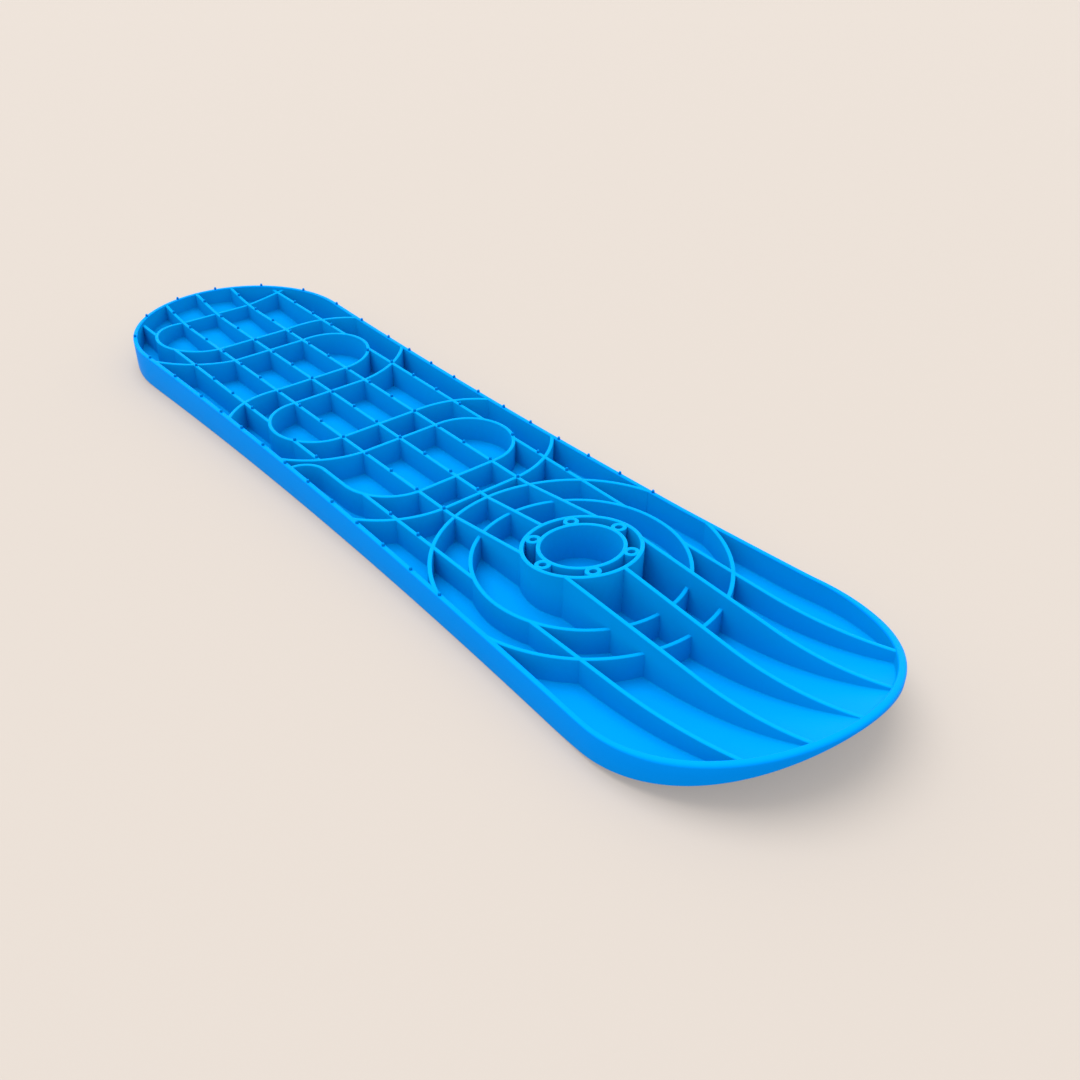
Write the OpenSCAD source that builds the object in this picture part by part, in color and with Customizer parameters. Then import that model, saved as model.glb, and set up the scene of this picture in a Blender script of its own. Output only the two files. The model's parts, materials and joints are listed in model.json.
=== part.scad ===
// Ribbed snowskate deck: a shallow tray with an upturned nose, a kicked tail and a screw hub.
// +X points to the nose, +Y to the rider's left hand as they face it, +Z up.
// The origin lies under the hub's axis, on the ground.

/* [Plan outline] */
// Distance from the hub's axis to the tip of the nose
nose_reach = 242.1; // [225:0.1:270]
// Distance from the hub's axis to the tip of the tail
tail_reach = 595; // [550:1:650]
// Radius of the round nose, half of the widest place
nose_radius = 112; // [109:0.1:120]
// Radius of the round tail
tail_radius = 102.5; // [100:0.5:108]
// Radius of the long waist curve of both sides
sidecut_radius = 6100; // [5200:10:9000]

/* [Heights] */
// Height of the middle ribs' flat tops above the ground
deck_height = 23.2; // [20:0.1:30]
// How much higher than the middle ribs the rim stands at the tip of the tail
tail_rim_rise = 7.8; // [4:0.1:12]
// Thickness of the sole's skin
sole_thickness = 3.2; // [2.4:0.1:4.5]

/* [Walls] */
// Thickness of the rim's wall along both sides and round the tail
rim_thickness = 3.8; // [3:0.1:5]
// Thickness of the rim's wall round the nose
nose_rim_thickness = 5.4; // [3.8:0.1:6.5]
// Thickness of every rib
rib_thickness = 3.2; // [2.4:0.1:4]
// Gap left on each face where one rib meets or crosses another
lap_clearance = 0.1; // [0.05:0.01:0.2]
// Gap between a wall and the curved part of the sole under it
seat_clearance = 0.05; // [0.02:0.01:0.1]

/* [Nose] */
// Length of the sole's upward curve, measured back from the tip of the nose
nose_bend_length = 161.1; // [146:0.1:172]
// Radius of the nose's curve, to the upper face of the sole
nose_bend_radius = 310; // [290:1:340]
// How far ahead of the nose's tip the upright axis stands that the sole's curve turns about
nose_pivot_lead = 338; // [250:1:500]
// Length of the rim's upward curve, measured back from the tip of the nose
nose_rim_bend_length = 134.1; // [124:0.1:142]
// Height of the rim's edge above the sole's upper face at the tip of the nose
nose_lip = 0.8; // [0.4:0.1:2]

/* [Tail] */
// Length of the sole's curve up to the tail, measured back from the tip of the tail
tail_bend_length = 131; // [115:1:155]
// Radius of the tail's curve, to the upper face of the sole
tail_bend_radius = 612; // [500:1:800]
// Length of the upward curve of the middle ribs' tops, measured back from the tip of the tail
tail_top_length = 70; // [55:1:90]
// Radius of that curve
tail_top_radius = 245; // [220:1:320]

/* [Ribs along the deck] */
// Distance between neighbouring ribs
rib_pitch = 36; // [34:0.5:37]
// How far before the hub's axis the middle ribs start to ramp up
ramp_start_x = -104.4; // [-115:0.1:-100]
// Slope of the ramp and of the hub's top, in degrees
hub_tilt = 6.73; // [3:0.01:8]
// How far behind the tip of the nose the middle ribs' tops are lowest
dip_inset = 85.1; // [77:0.1:97]
// Height of the ribs above the deck's plane at that place
dip_rise = 8.3; // [6:0.1:10]
// Radius of the ribs' tops from there to the nose
dip_radius = 234; // [225:1:260]
// How far before the lowest place that radius starts
dip_lead = 19; // [14:1:24]

/* [Winding ribs] */
// Distance from the outer ring rib to the single arched rib
arch_gap = 8.2; // [5:0.1:12]
// Distance from the last winding rib's leg to the tip of the tail
last_leg_inset = 44.2; // [36:0.1:55]
// Width of the plain band between two winding ribs
band_width = 31.5; // [28:0.5:36]
// Corner radius of a loop on the tail's side
loop_tail_radius = 41; // [35:0.5:44]
// Reach of a loop's closed end from the deck's middle line
loop_reach = 77.5; // [76:0.5:80]
// Radius of the flares that run into the rim
flare_radius = 80; // [72:1:88]
// Radius of the flare nearest the tail
last_flare_radius = 340; // [200:1:400]
// Reach of the hooked leg, which turns in along the rim, from the deck's middle line
hook_reach = 76.6; // [75:0.1:77]
// Radius of the hooked leg's last corner, before it meets the rim
hook_radius = 17.5; // [15:0.5:19]
// How far towards the tail the hooked leg ends, measured from the loop's other leg
hook_offset = 11; // [9:0.5:14]

/* [Hub] */
// Radius of the round recess
recess_radius = 29; // [26:0.5:30]
// Thickness of the hub's two walls
hub_wall = 3.2; // [2.6:0.1:3.6]
// Outer radius of the outer wall
hub_radius = 44; // [43:0.5:46]
// Radius of the circle that the six screw bosses stand on
screw_circle_radius = 36; // [35.5:0.1:36.5]
// Outside diameter of a screw boss
screw_boss_diameter = 11.8; // [10.5:0.1:13]
// Diameter of the screw holes
screw_hole_diameter = 5.5; // [4:0.1:6]
// Radius of the inner ring rib's middle line
inner_ring_radius = 78; // [76:0.5:80]
// Radius of the outer ring rib's middle line
outer_ring_radius = 106.6; // [106:0.2:108]

/* [Grip studs] */
// Diameter of a stud at its foot
stud_diameter = 2.6; // [2:0.1:3]
// Height of a stud
stud_height = 2.4; // [1.5:0.1:3.5]
// Distance from the tip of the tail to the last stud of the middle ribs
rib_stud_inset = 25.5; // [22:0.1:30]
// Distance from the tip of the tail to the last stud of the rails' even spacing
rail_stud_inset = 210.3; // [200:0.1:216]
// Distance between the last studs of the rails, towards the tail
end_stud_pitch = 48.7; // [44:0.1:50]
// Place of the first stud of the rails, measured from the hub's axis
rail_stud_x = -29.7; // [-32:0.1:-26]
// Place of the first stud of the middle ribs
middle_stud_x = -113.8; // [-115:0.1:-112]
// Place of the centre rib's first stud
centre_stud_x = -118.6; // [-120:0.1:-114]
// Place of the first stud of the outer ribs
outer_stud_x = -96.4; // [-99:0.1:-94]
// Turn about the tail's centre from the middle line to the first stud of the tail's rim
tail_stud_start = 12; // [10:1:14]
// Turn between the studs of the tail's rim
tail_stud_turn = 27; // [24:1:28]

/* [Hidden] */
$fn = 96;
deck_blue = [0.0, 0.53, 0.92];
stud_blue = [0.0, 0.36, 0.68];

// Centres of the nose's and the tail's round ends
nose_x = nose_reach - nose_radius;
tail_x = tail_radius - tail_reach;
// Where the curves of the nose and the tail start
nose_bend_x = nose_reach - nose_bend_length;
nose_rim_bend_x = nose_reach - nose_rim_bend_length;
dip_x = nose_reach - dip_inset;
tail_bend_x = tail_bend_length - tail_reach;
tail_top_x = tail_top_length - tail_reach;
// Radius of the rim's curve, which ends at the tip's lip above the sole's curve
nose_tip_rise = sole_thickness + curve_rise(nose_bend_radius, nose_bend_length) + nose_lip - deck_height;
nose_rim_radius = (pow(nose_rim_bend_length, 2) + pow(nose_tip_rise, 2)) / (2 * nose_tip_rise);
// Place of the upright axis that the nose's curve turns about, and the curve's reach from it
nose_pivot_x = nose_reach + nose_pivot_lead;
nose_bend_reach = nose_pivot_x - nose_bend_x;
// The waist curve touches both round ends, which settles where its centre lies
nose_span = sidecut_radius + nose_radius;
tail_span = sidecut_radius + tail_radius;
waist_x = (nose_x * nose_x - tail_x * tail_x - nose_span * nose_span + tail_span * tail_span)
    / (2 * (nose_x - tail_x));
waist_y = sqrt(nose_span * nose_span - (nose_x - waist_x) * (nose_x - waist_x));
waist_half_width = waist_y - sidecut_radius;
// Turn of the outline where the waist curve meets each round end
nose_joint_angle = asin((nose_x - waist_x) / nose_span);
tail_joint_angle = asin((waist_x - tail_x) / tail_span);

// Reach of helper shapes that must pass any edge of the deck
far = 2 * (nose_reach + tail_reach);
tall = 6 * deck_height;
floor_height = sole_thickness;
lap_height = (floor_height + deck_height) / 2;
rim_slope = tail_rim_rise / tail_reach;
hub_slope = tan(hub_tilt);
hub_height = deck_height - ramp_start_x * hub_slope;
outer_rib_y = 2 * rib_pitch;

// Legs of the winding ribs, from the hub to the tail
loop_count = 4;
arch_x = -(outer_ring_radius + arch_gap);
loop_pitch = (tail_reach - last_leg_inset + arch_x) / loop_count;
loop_width = loop_pitch - band_width;
loop_nose_radius = loop_width - loop_tail_radius;

// Studs along the ribs and the rails
rib_stud_steps = 13;
rail_stud_steps = 10;
rib_stud_pitch = (tail_reach - rib_stud_inset + middle_stud_x) / rib_stud_steps;
rail_stud_pitch = (tail_reach - rail_stud_inset + rail_stud_x) / rail_stud_steps;
screw_count = 6;

// Turn at which a flare meets the rim, and the longest run between points of a curved edge
flare_turn = 62;
step = 9;

// Facets of the larger circles
waist_facets = 2160;
bend_facets = 360;

// Height gained on a curve of radius r that starts level, at a distance d from its start
function curve_rise(r, d) = r - sqrt(r * r - d * d);

// Half width of the outline, less the inset, at a place along the waist
function half_width(x, inset) =
    waist_y - sqrt(pow(sidecut_radius + inset, 2) - pow(x - waist_x, 2));

// Place along the deck where a round end, less the inset, has the half width y
function nose_end(y, inset) = nose_x + sqrt(pow(nose_radius - inset, 2) - y * y);
function tail_end(y, inset) = tail_x - sqrt(pow(tail_radius - inset, 2) - y * y);

// Upper face of the sole on the middle line
function floor_z(x) = floor_height
    + (x > nose_bend_x ? curve_rise(nose_bend_radius, x - nose_bend_x) : 0)
    + (x < tail_bend_x ? curve_rise(tail_bend_radius, tail_bend_x - x) : 0);

// Top of the rim
function rim_top(x) = deck_height + max(0, -x) * rim_slope
    + (x > nose_rim_bend_x ? curve_rise(nose_rim_radius, x - nose_rim_bend_x) : 0);

// Share of the rim's extra height that a rib has at a distance y from the middle line
function dish_share(y) = max(0, abs(y) - rib_pitch) / (waist_half_width - rib_pitch);

// Top of the two outer ribs
function outer_top(x) = deck_height + max(0, -x) * rim_slope * dish_share(outer_rib_y)
    + (x > nose_rim_bend_x ? curve_rise(nose_rim_radius, x - nose_rim_bend_x) : 0);

// Top of the three middle ribs on the tail's side of the hub, which ends level with the rim
function tail_rib_top(x) = x > ramp_start_x
    ? deck_height + (x - ramp_start_x) * hub_slope
    : x < tail_top_x ? min(rim_top(x), deck_height + curve_rise(tail_top_radius, tail_top_x - x)) : deck_height;

// Top of the three middle ribs on the nose's side: a slope from the hub's edge into a round dip
dip_start_x = dip_x - dip_lead;
function dip_z(x) = deck_height + dip_rise + curve_rise(dip_radius, abs(x - dip_x));
function nose_rib_top(x, exit_x) =
    let(exit_z = hub_height + exit_x * hub_slope)
    x < dip_start_x
        ? exit_z + (x - exit_x) * (dip_z(dip_start_x) - exit_z) / (dip_start_x - exit_x)
        : dip_z(x);

// Places along an edge from a to b, both ends included
function places(a, b) =
    let(n = max(1, ceil((b - a) / step))) [for (i = [0 : n]) a + (b - a) * i / n];

// Side of the deck that a winding rib's closed end lies on
function loop_side(index) = index % 2 == 1 ? 1 : -1;

// Places of a winding rib's two legs and of its crown
function nose_leg_x(index) = arch_x - band_width - (index - 1) * loop_pitch;
function tail_leg_x(index) = nose_leg_x(index) - loop_width;
function crown_x(index) = tail_leg_x(index) + loop_tail_radius;

// Radius of the flare of a loop's leg on the tail's side
function leg_flare_radius(index) = index == loop_count ? last_flare_radius : flare_radius;

// Distance from the middle line at which a flare leaves its straight leg
function flare_start(x, radius) = max(rib_pitch, half_width(x, 0) - radius * sin(flare_turn));

// Whether an outer rib is left out at x, inside a loop's closed end
function inside_loop(side, x) = len([
    for (index = [1 : loop_count])
        if ((loop_side(index) == side || index == 1) && x > tail_leg_x(index) && x < nose_leg_x(index))
            index
]) > 0;

// Distance from the middle line to a loop's closed end, on the nose's side of its crown
function closed_end_y(index, x) =
    loop_reach - loop_nose_radius + sqrt(max(0, pow(loop_nose_radius, 2) - pow(x - crown_x(index), 2)));

// Whether the row of studs at an outer rib's distance lands on a loop's closed end at x
function on_closed_end(side, index, x) =
    loop_side(index) == side && x > crown_x(index) && x < nose_leg_x(index)
    && abs(closed_end_y(index, x) - outer_rib_y) < rib_pitch / 8;

// Plan of the deck with its edge moved inwards by the rim and the clearance, for the ribs
module trim_plan() {
    inset = rim_thickness + lap_clearance;
    translate([nose_x, 0])
        circle(r = nose_radius - nose_rim_thickness - lap_clearance, $fn = bend_facets);
    tail_end_plan(inset);
    difference() {
        waist_block();
        for (side = [1, -1])
            polygon(concat(
                [for (x = places(tail_x, nose_x)) [x, side * half_width(x, inset)]],
                [[nose_x, side * far], [tail_x, side * far]]
            ));
    }
}

// Wedge from a round end's centre, which meets the waist curve square to the outline
module end_wedge(centre_x, direction, angle) {
    corner_x = centre_x - direction * far * sin(angle);
    corner_y = far * cos(angle);
    polygon([
        [centre_x, 0],
        [corner_x, corner_y],
        [direction * far, far],
        [direction * far, -far],
        [corner_x, -corner_y]
    ]);
}

module nose_end_plan() {
    intersection() {
        translate([nose_x, 0])
            circle(r = nose_radius, $fn = bend_facets);
        end_wedge(nose_x, 1, nose_joint_angle);
    }
}

module tail_end_plan(inset) {
    intersection() {
        translate([tail_x, 0])
            circle(r = tail_radius - inset, $fn = bend_facets);
        end_wedge(tail_x, -1, tail_joint_angle);
    }
}

// Stretch between the two round ends
module waist_block() {
    reach = 1.6 * nose_radius;
    nose_corner = nose_x - reach * tan(nose_joint_angle);
    tail_corner = tail_x + reach * tan(tail_joint_angle);
    polygon([
        [nose_x, 0],
        [nose_corner, reach],
        [tail_corner, reach],
        [tail_x, 0],
        [tail_corner, -reach],
        [nose_corner, -reach]
    ]);
}

// A flat shape drawn in X and Z, given a thickness along Y and centred on y
module upright(y, thickness) {
    translate([0, y + thickness / 2, 0])
        rotate([90, 0, 0])
            linear_extrude(height = thickness)
                children();
}

// Everything under the sole's upper face, raised by the clearance where it curves
module under_floor(clearance) {
    upright(0, 3 * nose_radius) {
        translate([-far / 2, -tall])
            square([far, tall + floor_height]);
        difference() {
            tail_side();
            translate([tail_bend_x, floor_height + tail_bend_radius])
                circle(r = tail_bend_radius - clearance, $fn = bend_facets);
        }
    }
    nose_turned()
        difference() {
            nose_side();
            translate([nose_bend_reach, floor_height + nose_bend_radius])
                circle(r = nose_bend_radius - clearance, $fn = bend_facets);
        }
}

// Side view of the space that the tail's curve lies in
module tail_side() {
    translate([-tail_reach - step, 0])
        square([tail_bend_length + step, tall]);
}

// Side view of the space that the nose's curve lies in, drawn outwards from its upright axis
module nose_side() {
    translate([nose_bend_reach - nose_bend_length - step, 0])
        square([nose_bend_length + step, 0.6 * nose_bend_radius]);
}

// Turns a side view, drawn outwards from the nose's upright axis, about that axis
module nose_turned() {
    translate([nose_pivot_x, 0, 0])
        rotate_extrude($fn = bend_facets)
            children();
}

// Ring that a curved end of the sole is cut from, about the place x of its lowest point
module bend_band(x, radius) {
    translate([x, floor_height + radius])
        difference() {
            circle(r = radius + sole_thickness, $fn = bend_facets);
            circle(r = radius, $fn = bend_facets);
        }
}

// Everything above the rim's top
module above_rim() {
    upright(0, 3 * nose_radius) {
        polygon([
            [-far, rim_top(-far)],
            [0, deck_height],
            [nose_rim_bend_x, deck_height],
            [nose_rim_bend_x, tall],
            [-far, tall]
        ]);
        intersection() {
            translate([nose_rim_bend_x, 0])
                square([nose_reach, tall]);
            translate([nose_rim_bend_x, deck_height + nose_rim_radius])
                circle(r = nose_rim_radius, $fn = bend_facets);
        }
    }
}

// Everything above the dished tops of the cross ribs near the place x
module above_dish(x) {
    wing = 1.3 * nose_radius;
    rise = max(0, -x) * rim_slope * dish_share(wing);
    translate([-far / 2, 0, 0])
        rotate([90, 0, 90])
            linear_extrude(height = far)
                polygon([
                    [-wing, deck_height + rise],
                    [-rib_pitch, deck_height],
                    [rib_pitch, deck_height],
                    [wing, deck_height + rise],
                    [wing, 2 * tall],
                    [-wing, 2 * tall]
                ]);
}

// Everything above the hub's slanting top
module above_hub() {
    reach = 2 * hub_radius;
    upright(0, 2 * reach)
        polygon([
            [-reach, hub_height - reach * hub_slope],
            [reach, hub_height + reach * hub_slope],
            [reach, 2 * tall],
            [-reach, 2 * tall]
        ]);
}

// Quarter of a flat ring about a centre: along and across pick the quadrant
module quarter_ring(cx, cy, radius, width, along, across) {
    intersection() {
        translate([cx, cy])
            ring(radius, width);
        quadrant(cx, cy, radius + width, along, across);
    }
}

module ring(radius, width) {
    facets = radius > 1.5 * loop_reach ? waist_facets : bend_facets;
    difference() {
        circle(r = radius + width / 2, $fn = facets);
        circle(r = radius - width / 2, $fn = facets);
    }
}

module quadrant(cx, cy, reach, along, across) {
    translate([cx + (along > 0 ? 0 : -reach), cy + (across > 0 ? 0 : -reach)])
        square([reach, reach]);
}

// Straight leg across the deck
module leg(x, y0, y1, width) {
    translate([x - width / 2, min(y0, y1)])
        square([width, abs(y1 - y0)]);
}

// End of a leg that bends away along the deck and runs into the rim
module flare(x, side, radius, width, along) {
    quarter_ring(x + along * radius, side * flare_start(x, radius), radius, width, -along, side);
}

// Plan of a winding rib: two legs, joined at one side and flared into the rim at the other
module loop_plan(index, width) {
    side = loop_side(index);
    crown = crown_x(index);
    nose_turn = side * (loop_reach - loop_nose_radius);
    tail_turn = side * (loop_reach - loop_tail_radius);
    tail_radius_used = leg_flare_radius(index);
    quarter_ring(crown, nose_turn, loop_nose_radius, width, 1, side);
    quarter_ring(crown, tail_turn, loop_tail_radius, width, -1, side);
    leg(tail_leg_x(index), -side * flare_start(tail_leg_x(index), tail_radius_used), tail_turn, width);
    flare(tail_leg_x(index), -side, tail_radius_used, width, -1);
    if (index == 1) {
        hook(nose_turn, width);
    } else {
        leg(nose_leg_x(index), -side * flare_start(nose_leg_x(index), flare_radius), nose_turn, width);
        flare(nose_leg_x(index), -side, flare_radius, width, 1);
    }
}

// The first loop's nose leg turns in along the rim and meets it beside the other leg's flare
module hook(leg_end, width) {
    line_y = -hook_reach;
    turn_x = nose_leg_x(1) - loop_tail_radius;
    turn_y = line_y + loop_tail_radius;
    foot_x = tail_leg_x(1) - hook_offset;
    foot_y = line_y - hook_radius;
    leg(nose_leg_x(1), turn_y, leg_end, width);
    quarter_ring(turn_x, turn_y, loop_tail_radius, width, 1, -1);
    translate([foot_x + hook_radius, line_y - width / 2])
        square([turn_x - foot_x - hook_radius, width]);
    quarter_ring(foot_x + hook_radius, foot_y, hook_radius, width, -1, 1);
    leg(foot_x, foot_y, -nose_radius, width);
}

// Plan of the single arched rib next to the rings
module arch_plan(width) {
    start = flare_start(arch_x, flare_radius);
    leg(arch_x, -start, start, width);
    for (side = [1, -1])
        flare(arch_x, side, flare_radius, width, -1);
}

// Areas at one side of the deck where a loop or the inner ring takes the outer rib's place
module rib_stops(side) {
    grown = rib_thickness / 2 + lap_clearance;
    circle(r = inner_ring_radius + grown);
    for (index = [1 : loop_count])
        if (loop_side(index) == side)
            closed_end(index, grown);
    if (side < 0)
        hook_area(grown);
}

// Filled area of a loop's closed end
module closed_end(index, grown) {
    side = loop_side(index);
    for (turn = [[1, loop_nose_radius], [-1, loop_tail_radius]])
        intersection() {
            translate([crown_x(index), side * (loop_reach - turn[1])])
                circle(r = turn[1] + grown);
            quadrant(crown_x(index), side * (loop_reach - turn[1]), 2 * turn[1], turn[0], side);
        }
}

// Filled area between the hooked rib's two legs, at the right-hand outer rib
module hook_area(grown) {
    turn_x = nose_leg_x(1) - loop_tail_radius;
    turn_y = loop_tail_radius - hook_reach;
    start = flare_start(tail_leg_x(1), flare_radius);
    intersection() {
        translate([turn_x, turn_y])
            circle(r = loop_tail_radius + grown);
        quadrant(turn_x, turn_y, 2 * loop_tail_radius, 1, -1);
    }
    difference() {
        translate([tail_leg_x(1) - loop_tail_radius, -outer_rib_y - rib_thickness])
            square([loop_width, 2 * rib_thickness]);
        translate([tail_leg_x(1) - flare_radius, -start])
            circle(r = flare_radius - grown);
    }
}

// Slots through the lower half of the ribs along the deck, which the cross ribs pass through
module lower_laps() {
    width = rib_thickness + 2 * lap_clearance;
    translate([0, 0, -1])
        linear_extrude(height = lap_height + lap_clearance / 2 + 1) {
            for (index = [1 : loop_count])
                loop_plan(index, width);
            arch_plan(width);
            ring(inner_ring_radius, width);
            ring(outer_ring_radius, width);
        }
}

// Slots through the upper half of a cross rib for an outer rib, where that rib is not left out
module outer_laps(side) {
    width = rib_thickness + 2 * lap_clearance;
    translate([0, 0, lap_height - lap_clearance / 2])
        linear_extrude(height = tall)
            difference() {
                translate([-far / 2, side * outer_rib_y - width / 2])
                    square([far, width]);
                rib_stops(side);
            }
}

// A cross rib: its plan raised from the sole to the dished top, slotted for the ribs along the deck
module cross_rib(x) {
    width = rib_thickness + 2 * lap_clearance;
    difference() {
        linear_extrude(height = tall / 2)
            intersection() {
                children();
                trim_plan();
            }
        under_floor(seat_clearance);
        above_dish(x);
        for (row = [-1 : 1])
            translate([-far / 2, row * rib_pitch - width / 2, lap_height - lap_clearance / 2])
                cube([far, width, tall]);
        for (side = [1, -1])
            outer_laps(side);
    }
}

module winding_rib(index) {
    color(deck_blue)
        cross_rib(crown_x(index))
            loop_plan(index, rib_thickness);
}

module arched_rib() {
    color(deck_blue)
        cross_rib(arch_x)
            arch_plan(rib_thickness);
}

// Half of a ring rib, on the nose's side or the tail's side of the hub
module ring_rib(radius, direction) {
    color(deck_blue)
        cross_rib(0)
            intersection() {
                ring(radius, rib_thickness);
                translate([direction > 0 ? lap_clearance : -far, -far / 2])
                    square([far - lap_clearance, far]);
            }
}

// Side view of a rib along the deck: everything under its given tops
module rib_side(xs, tops) {
    last = len(xs) - 1;
    polygon(concat(
        [[xs[0], 0], [xs[last], 0]],
        [for (i = [last : -1 : 0]) [xs[i], max(tops[i], floor_z(xs[i]) + 2 * seat_clearance)]]
    ));
}

// Trims a rib along the deck to the inside of the rim and slots it over the cross ribs
module fitted_rib() {
    difference() {
        intersection() {
            children();
            linear_extrude(height = tall)
                trim_plan();
        }
        under_floor(seat_clearance);
        lower_laps();
    }
}

// One stretch of an outer rib, between the places a and b
module outer_rib(side, a, b) {
    xs = places(a, b);
    color(deck_blue)
        fitted_rib()
            difference() {
                upright(side * outer_rib_y, rib_thickness)
                    rib_side(xs, [for (x = xs) outer_top(x)]);
                linear_extrude(height = tall)
                    rib_stops(side);
            }
}

// One of the three middle ribs, on the nose's side or the tail's side of the hub
module middle_rib(row, direction) {
    y = row * rib_pitch;
    exit_x = sqrt(hub_radius * hub_radius - y * y);
    xs = direction > 0
        ? places(0, nose_end(y, nose_rim_thickness / 2))
        : places(tail_end(y, rim_thickness / 2), 0);
    color(deck_blue)
        fitted_rib()
            difference() {
                upright(y, rib_thickness)
                    rib_side(xs, [
                        for (x = xs) direction > 0 ? nose_rib_top(x, exit_x) : tail_rib_top(x)
                    ]);
                cylinder(h = tall, r = hub_radius + lap_clearance);
            }
}

// A part of the rim, drawn in plan: it stands on the sole and ends at the rim's sloping top
module rim_wall() {
    color(deck_blue)
        difference() {
            linear_extrude(height = tall / 2)
                children();
            under_floor(seat_clearance);
            above_rim();
        }
}

// The sole's skin before it is trimmed to the outline; its two parts share a face under the hub
module sole_skin() {
    reach = 1.5 * nose_radius;
    upright(0, 2 * reach) {
        intersection() {
            tail_side();
            bend_band(tail_bend_x, tail_bend_radius);
        }
        translate([tail_bend_x, 0])
            square([-tail_bend_x, sole_thickness]);
    }
    intersection() {
        nose_turned() {
            intersection() {
                nose_side();
                bend_band(nose_bend_reach, nose_bend_radius);
            }
            translate([nose_bend_reach, 0])
                square([nose_pivot_x, sole_thickness]);
        }
        translate([0, -reach, -1])
            cube([nose_pivot_x, 2 * reach, tall]);
    }
}

// Everything outside the deck's outline along its waist
module outside_waist() {
    intersection() {
        waist_block();
        for (side = [1, -1])
            translate([waist_x, side * waist_y])
                circle(r = sidecut_radius, $fn = waist_facets);
    }
}

// Everything outside a round end; its straight edges pass the ends of the waist curve, and run
// over the waist's own cut beyond them
module outside_end(centre_x, radius, direction, angle) {
    joint_x = -direction * radius * sin(angle);
    joint_y = radius * cos(angle);
    lead = direction * radius / 4;
    run = far / joint_y;
    difference() {
        polygon([
            [centre_x + lead, 0],
            [centre_x + lead + run * (joint_x - lead), far],
            [centre_x + direction * far, far],
            [centre_x + direction * far, -far],
            [centre_x + lead + run * (joint_x - lead), -far]
        ]);
        translate([centre_x, 0])
            circle(r = radius, $fn = bend_facets);
    }
}

module sole() {
    color(deck_blue)
        difference() {
            sole_skin();
            translate([0, 0, -1])
                linear_extrude(height = tall)
                    outside_waist();
            translate([0, 0, -1])
                linear_extrude(height = tall)
                    outside_end(nose_x, nose_radius, 1, nose_joint_angle);
            translate([0, 0, -1])
                linear_extrude(height = tall)
                    outside_end(tail_x, tail_radius, -1, tail_joint_angle);
        }
}

module rail(side) {
    rim_wall()
        intersection() {
            translate([waist_x, side * waist_y])
                ring(sidecut_radius + rim_thickness / 2, rim_thickness);
            waist_block();
            translate([-far, side > 0 ? 0 : -far])
                square([2 * far, far]);
        }
}

module nose_rim() {
    rim_wall()
        difference() {
            nose_end_plan();
            translate([nose_x, 0])
                circle(r = nose_radius - nose_rim_thickness, $fn = bend_facets);
        }
}

module tail_rim() {
    rim_wall()
        difference() {
            tail_end_plan(0);
            translate([tail_x, 0])
                circle(r = tail_radius - rim_thickness, $fn = bend_facets);
        }
}

// One wall of the hub, between two radii, cut to the slanting top
module hub_ring(outer, inner) {
    color(deck_blue)
        difference() {
            translate([0, 0, floor_height])
                cylinder(h = tall, r = outer);
            translate([0, 0, floor_height - 1])
                cylinder(h = tall + 2, r = inner);
            above_hub();
        }
}

module hub_outer_wall() {
    hub_ring(hub_radius, hub_radius - hub_wall);
}

module hub_inner_wall() {
    hub_ring(recess_radius + hub_wall, recess_radius);
}

// Upright tubes between the hub's walls, cut to fit both walls
module screw_bosses() {
    spread = 360 / screw_count;
    color(deck_blue)
        for (k = [1 : screw_count])
            rotate([0, 0, (k - 0.5) * spread])
                screw_boss((k - 0.5) * spread);
}

module screw_boss(turn) {
    difference() {
        intersection() {
            translate([screw_circle_radius, 0, floor_height])
                cylinder(h = tall, d = screw_boss_diameter);
            cylinder(h = 2 * tall, r = hub_radius - hub_wall - lap_clearance);
        }
        cylinder(h = 2 * tall, r = recess_radius + hub_wall + lap_clearance);
        translate([screw_circle_radius, 0, floor_height - 1])
            cylinder(h = 2 * tall, d = screw_hole_diameter);
        rotate([0, 0, -turn])
            above_hub();
    }
}

// A grip stud that stands square on a top that climbs with the given slope
module stud(x, y, z, slope) {
    translate([x, y, z + seat_clearance])
        rotate([0, -atan(slope), 0])
            cylinder(h = stud_height, d1 = stud_diameter, d2 = 0.7 * stud_diameter, $fn = 20);
}

// Studs of a rail, with the wider spacing at the tail's end
module rail_studs(side) {
    color(stud_blue)
        for (x = concat(
            [for (k = [0 : rail_stud_steps]) rail_stud_x - k * rail_stud_pitch],
            [for (k = [1 : 2]) rail_stud_inset - tail_reach - k * end_stud_pitch]
        ))
            stud(x, side * (half_width(x, rim_thickness / 2)), rim_top(x), -rim_slope);
}

module tail_rim_studs() {
    radius = tail_radius - rim_thickness / 2;
    color(stud_blue)
        for (k = [0 : 2], side = [1, -1]) {
            turn = tail_stud_start + k * tail_stud_turn;
            x = tail_x - radius * cos(turn);
            stud(x, side * radius * sin(turn), rim_top(x), -rim_slope);
        }
}

// Studs of an outer rib; inside a loop only the one that lands on the loop's closed end stands
module outer_rib_studs(side) {
    slope = -rim_slope * dish_share(outer_rib_y);
    color(stud_blue)
        for (k = [0 : rib_stud_steps - 1]) {
            x = outer_stud_x - k * rib_stud_pitch;
            if (!inside_loop(side, x))
                stud(x, side * outer_rib_y, outer_top(x), slope);
            for (index = [1 : loop_count])
                if (on_closed_end(side, index, x))
                    stud(x, side * closed_end_y(index, x), outer_top(x), slope);
        }
}

module middle_rib_studs(row) {
    first = row == 0 ? centre_stud_x : middle_stud_x;
    color(stud_blue)
        for (k = [0 : rib_stud_steps]) {
            x = first - k * rib_stud_pitch;
            slope = (tail_rib_top(x + 1) - tail_rib_top(x - 1)) / 2;
            stud(x, row * rib_pitch, tail_rib_top(x), slope);
        }
}

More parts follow.
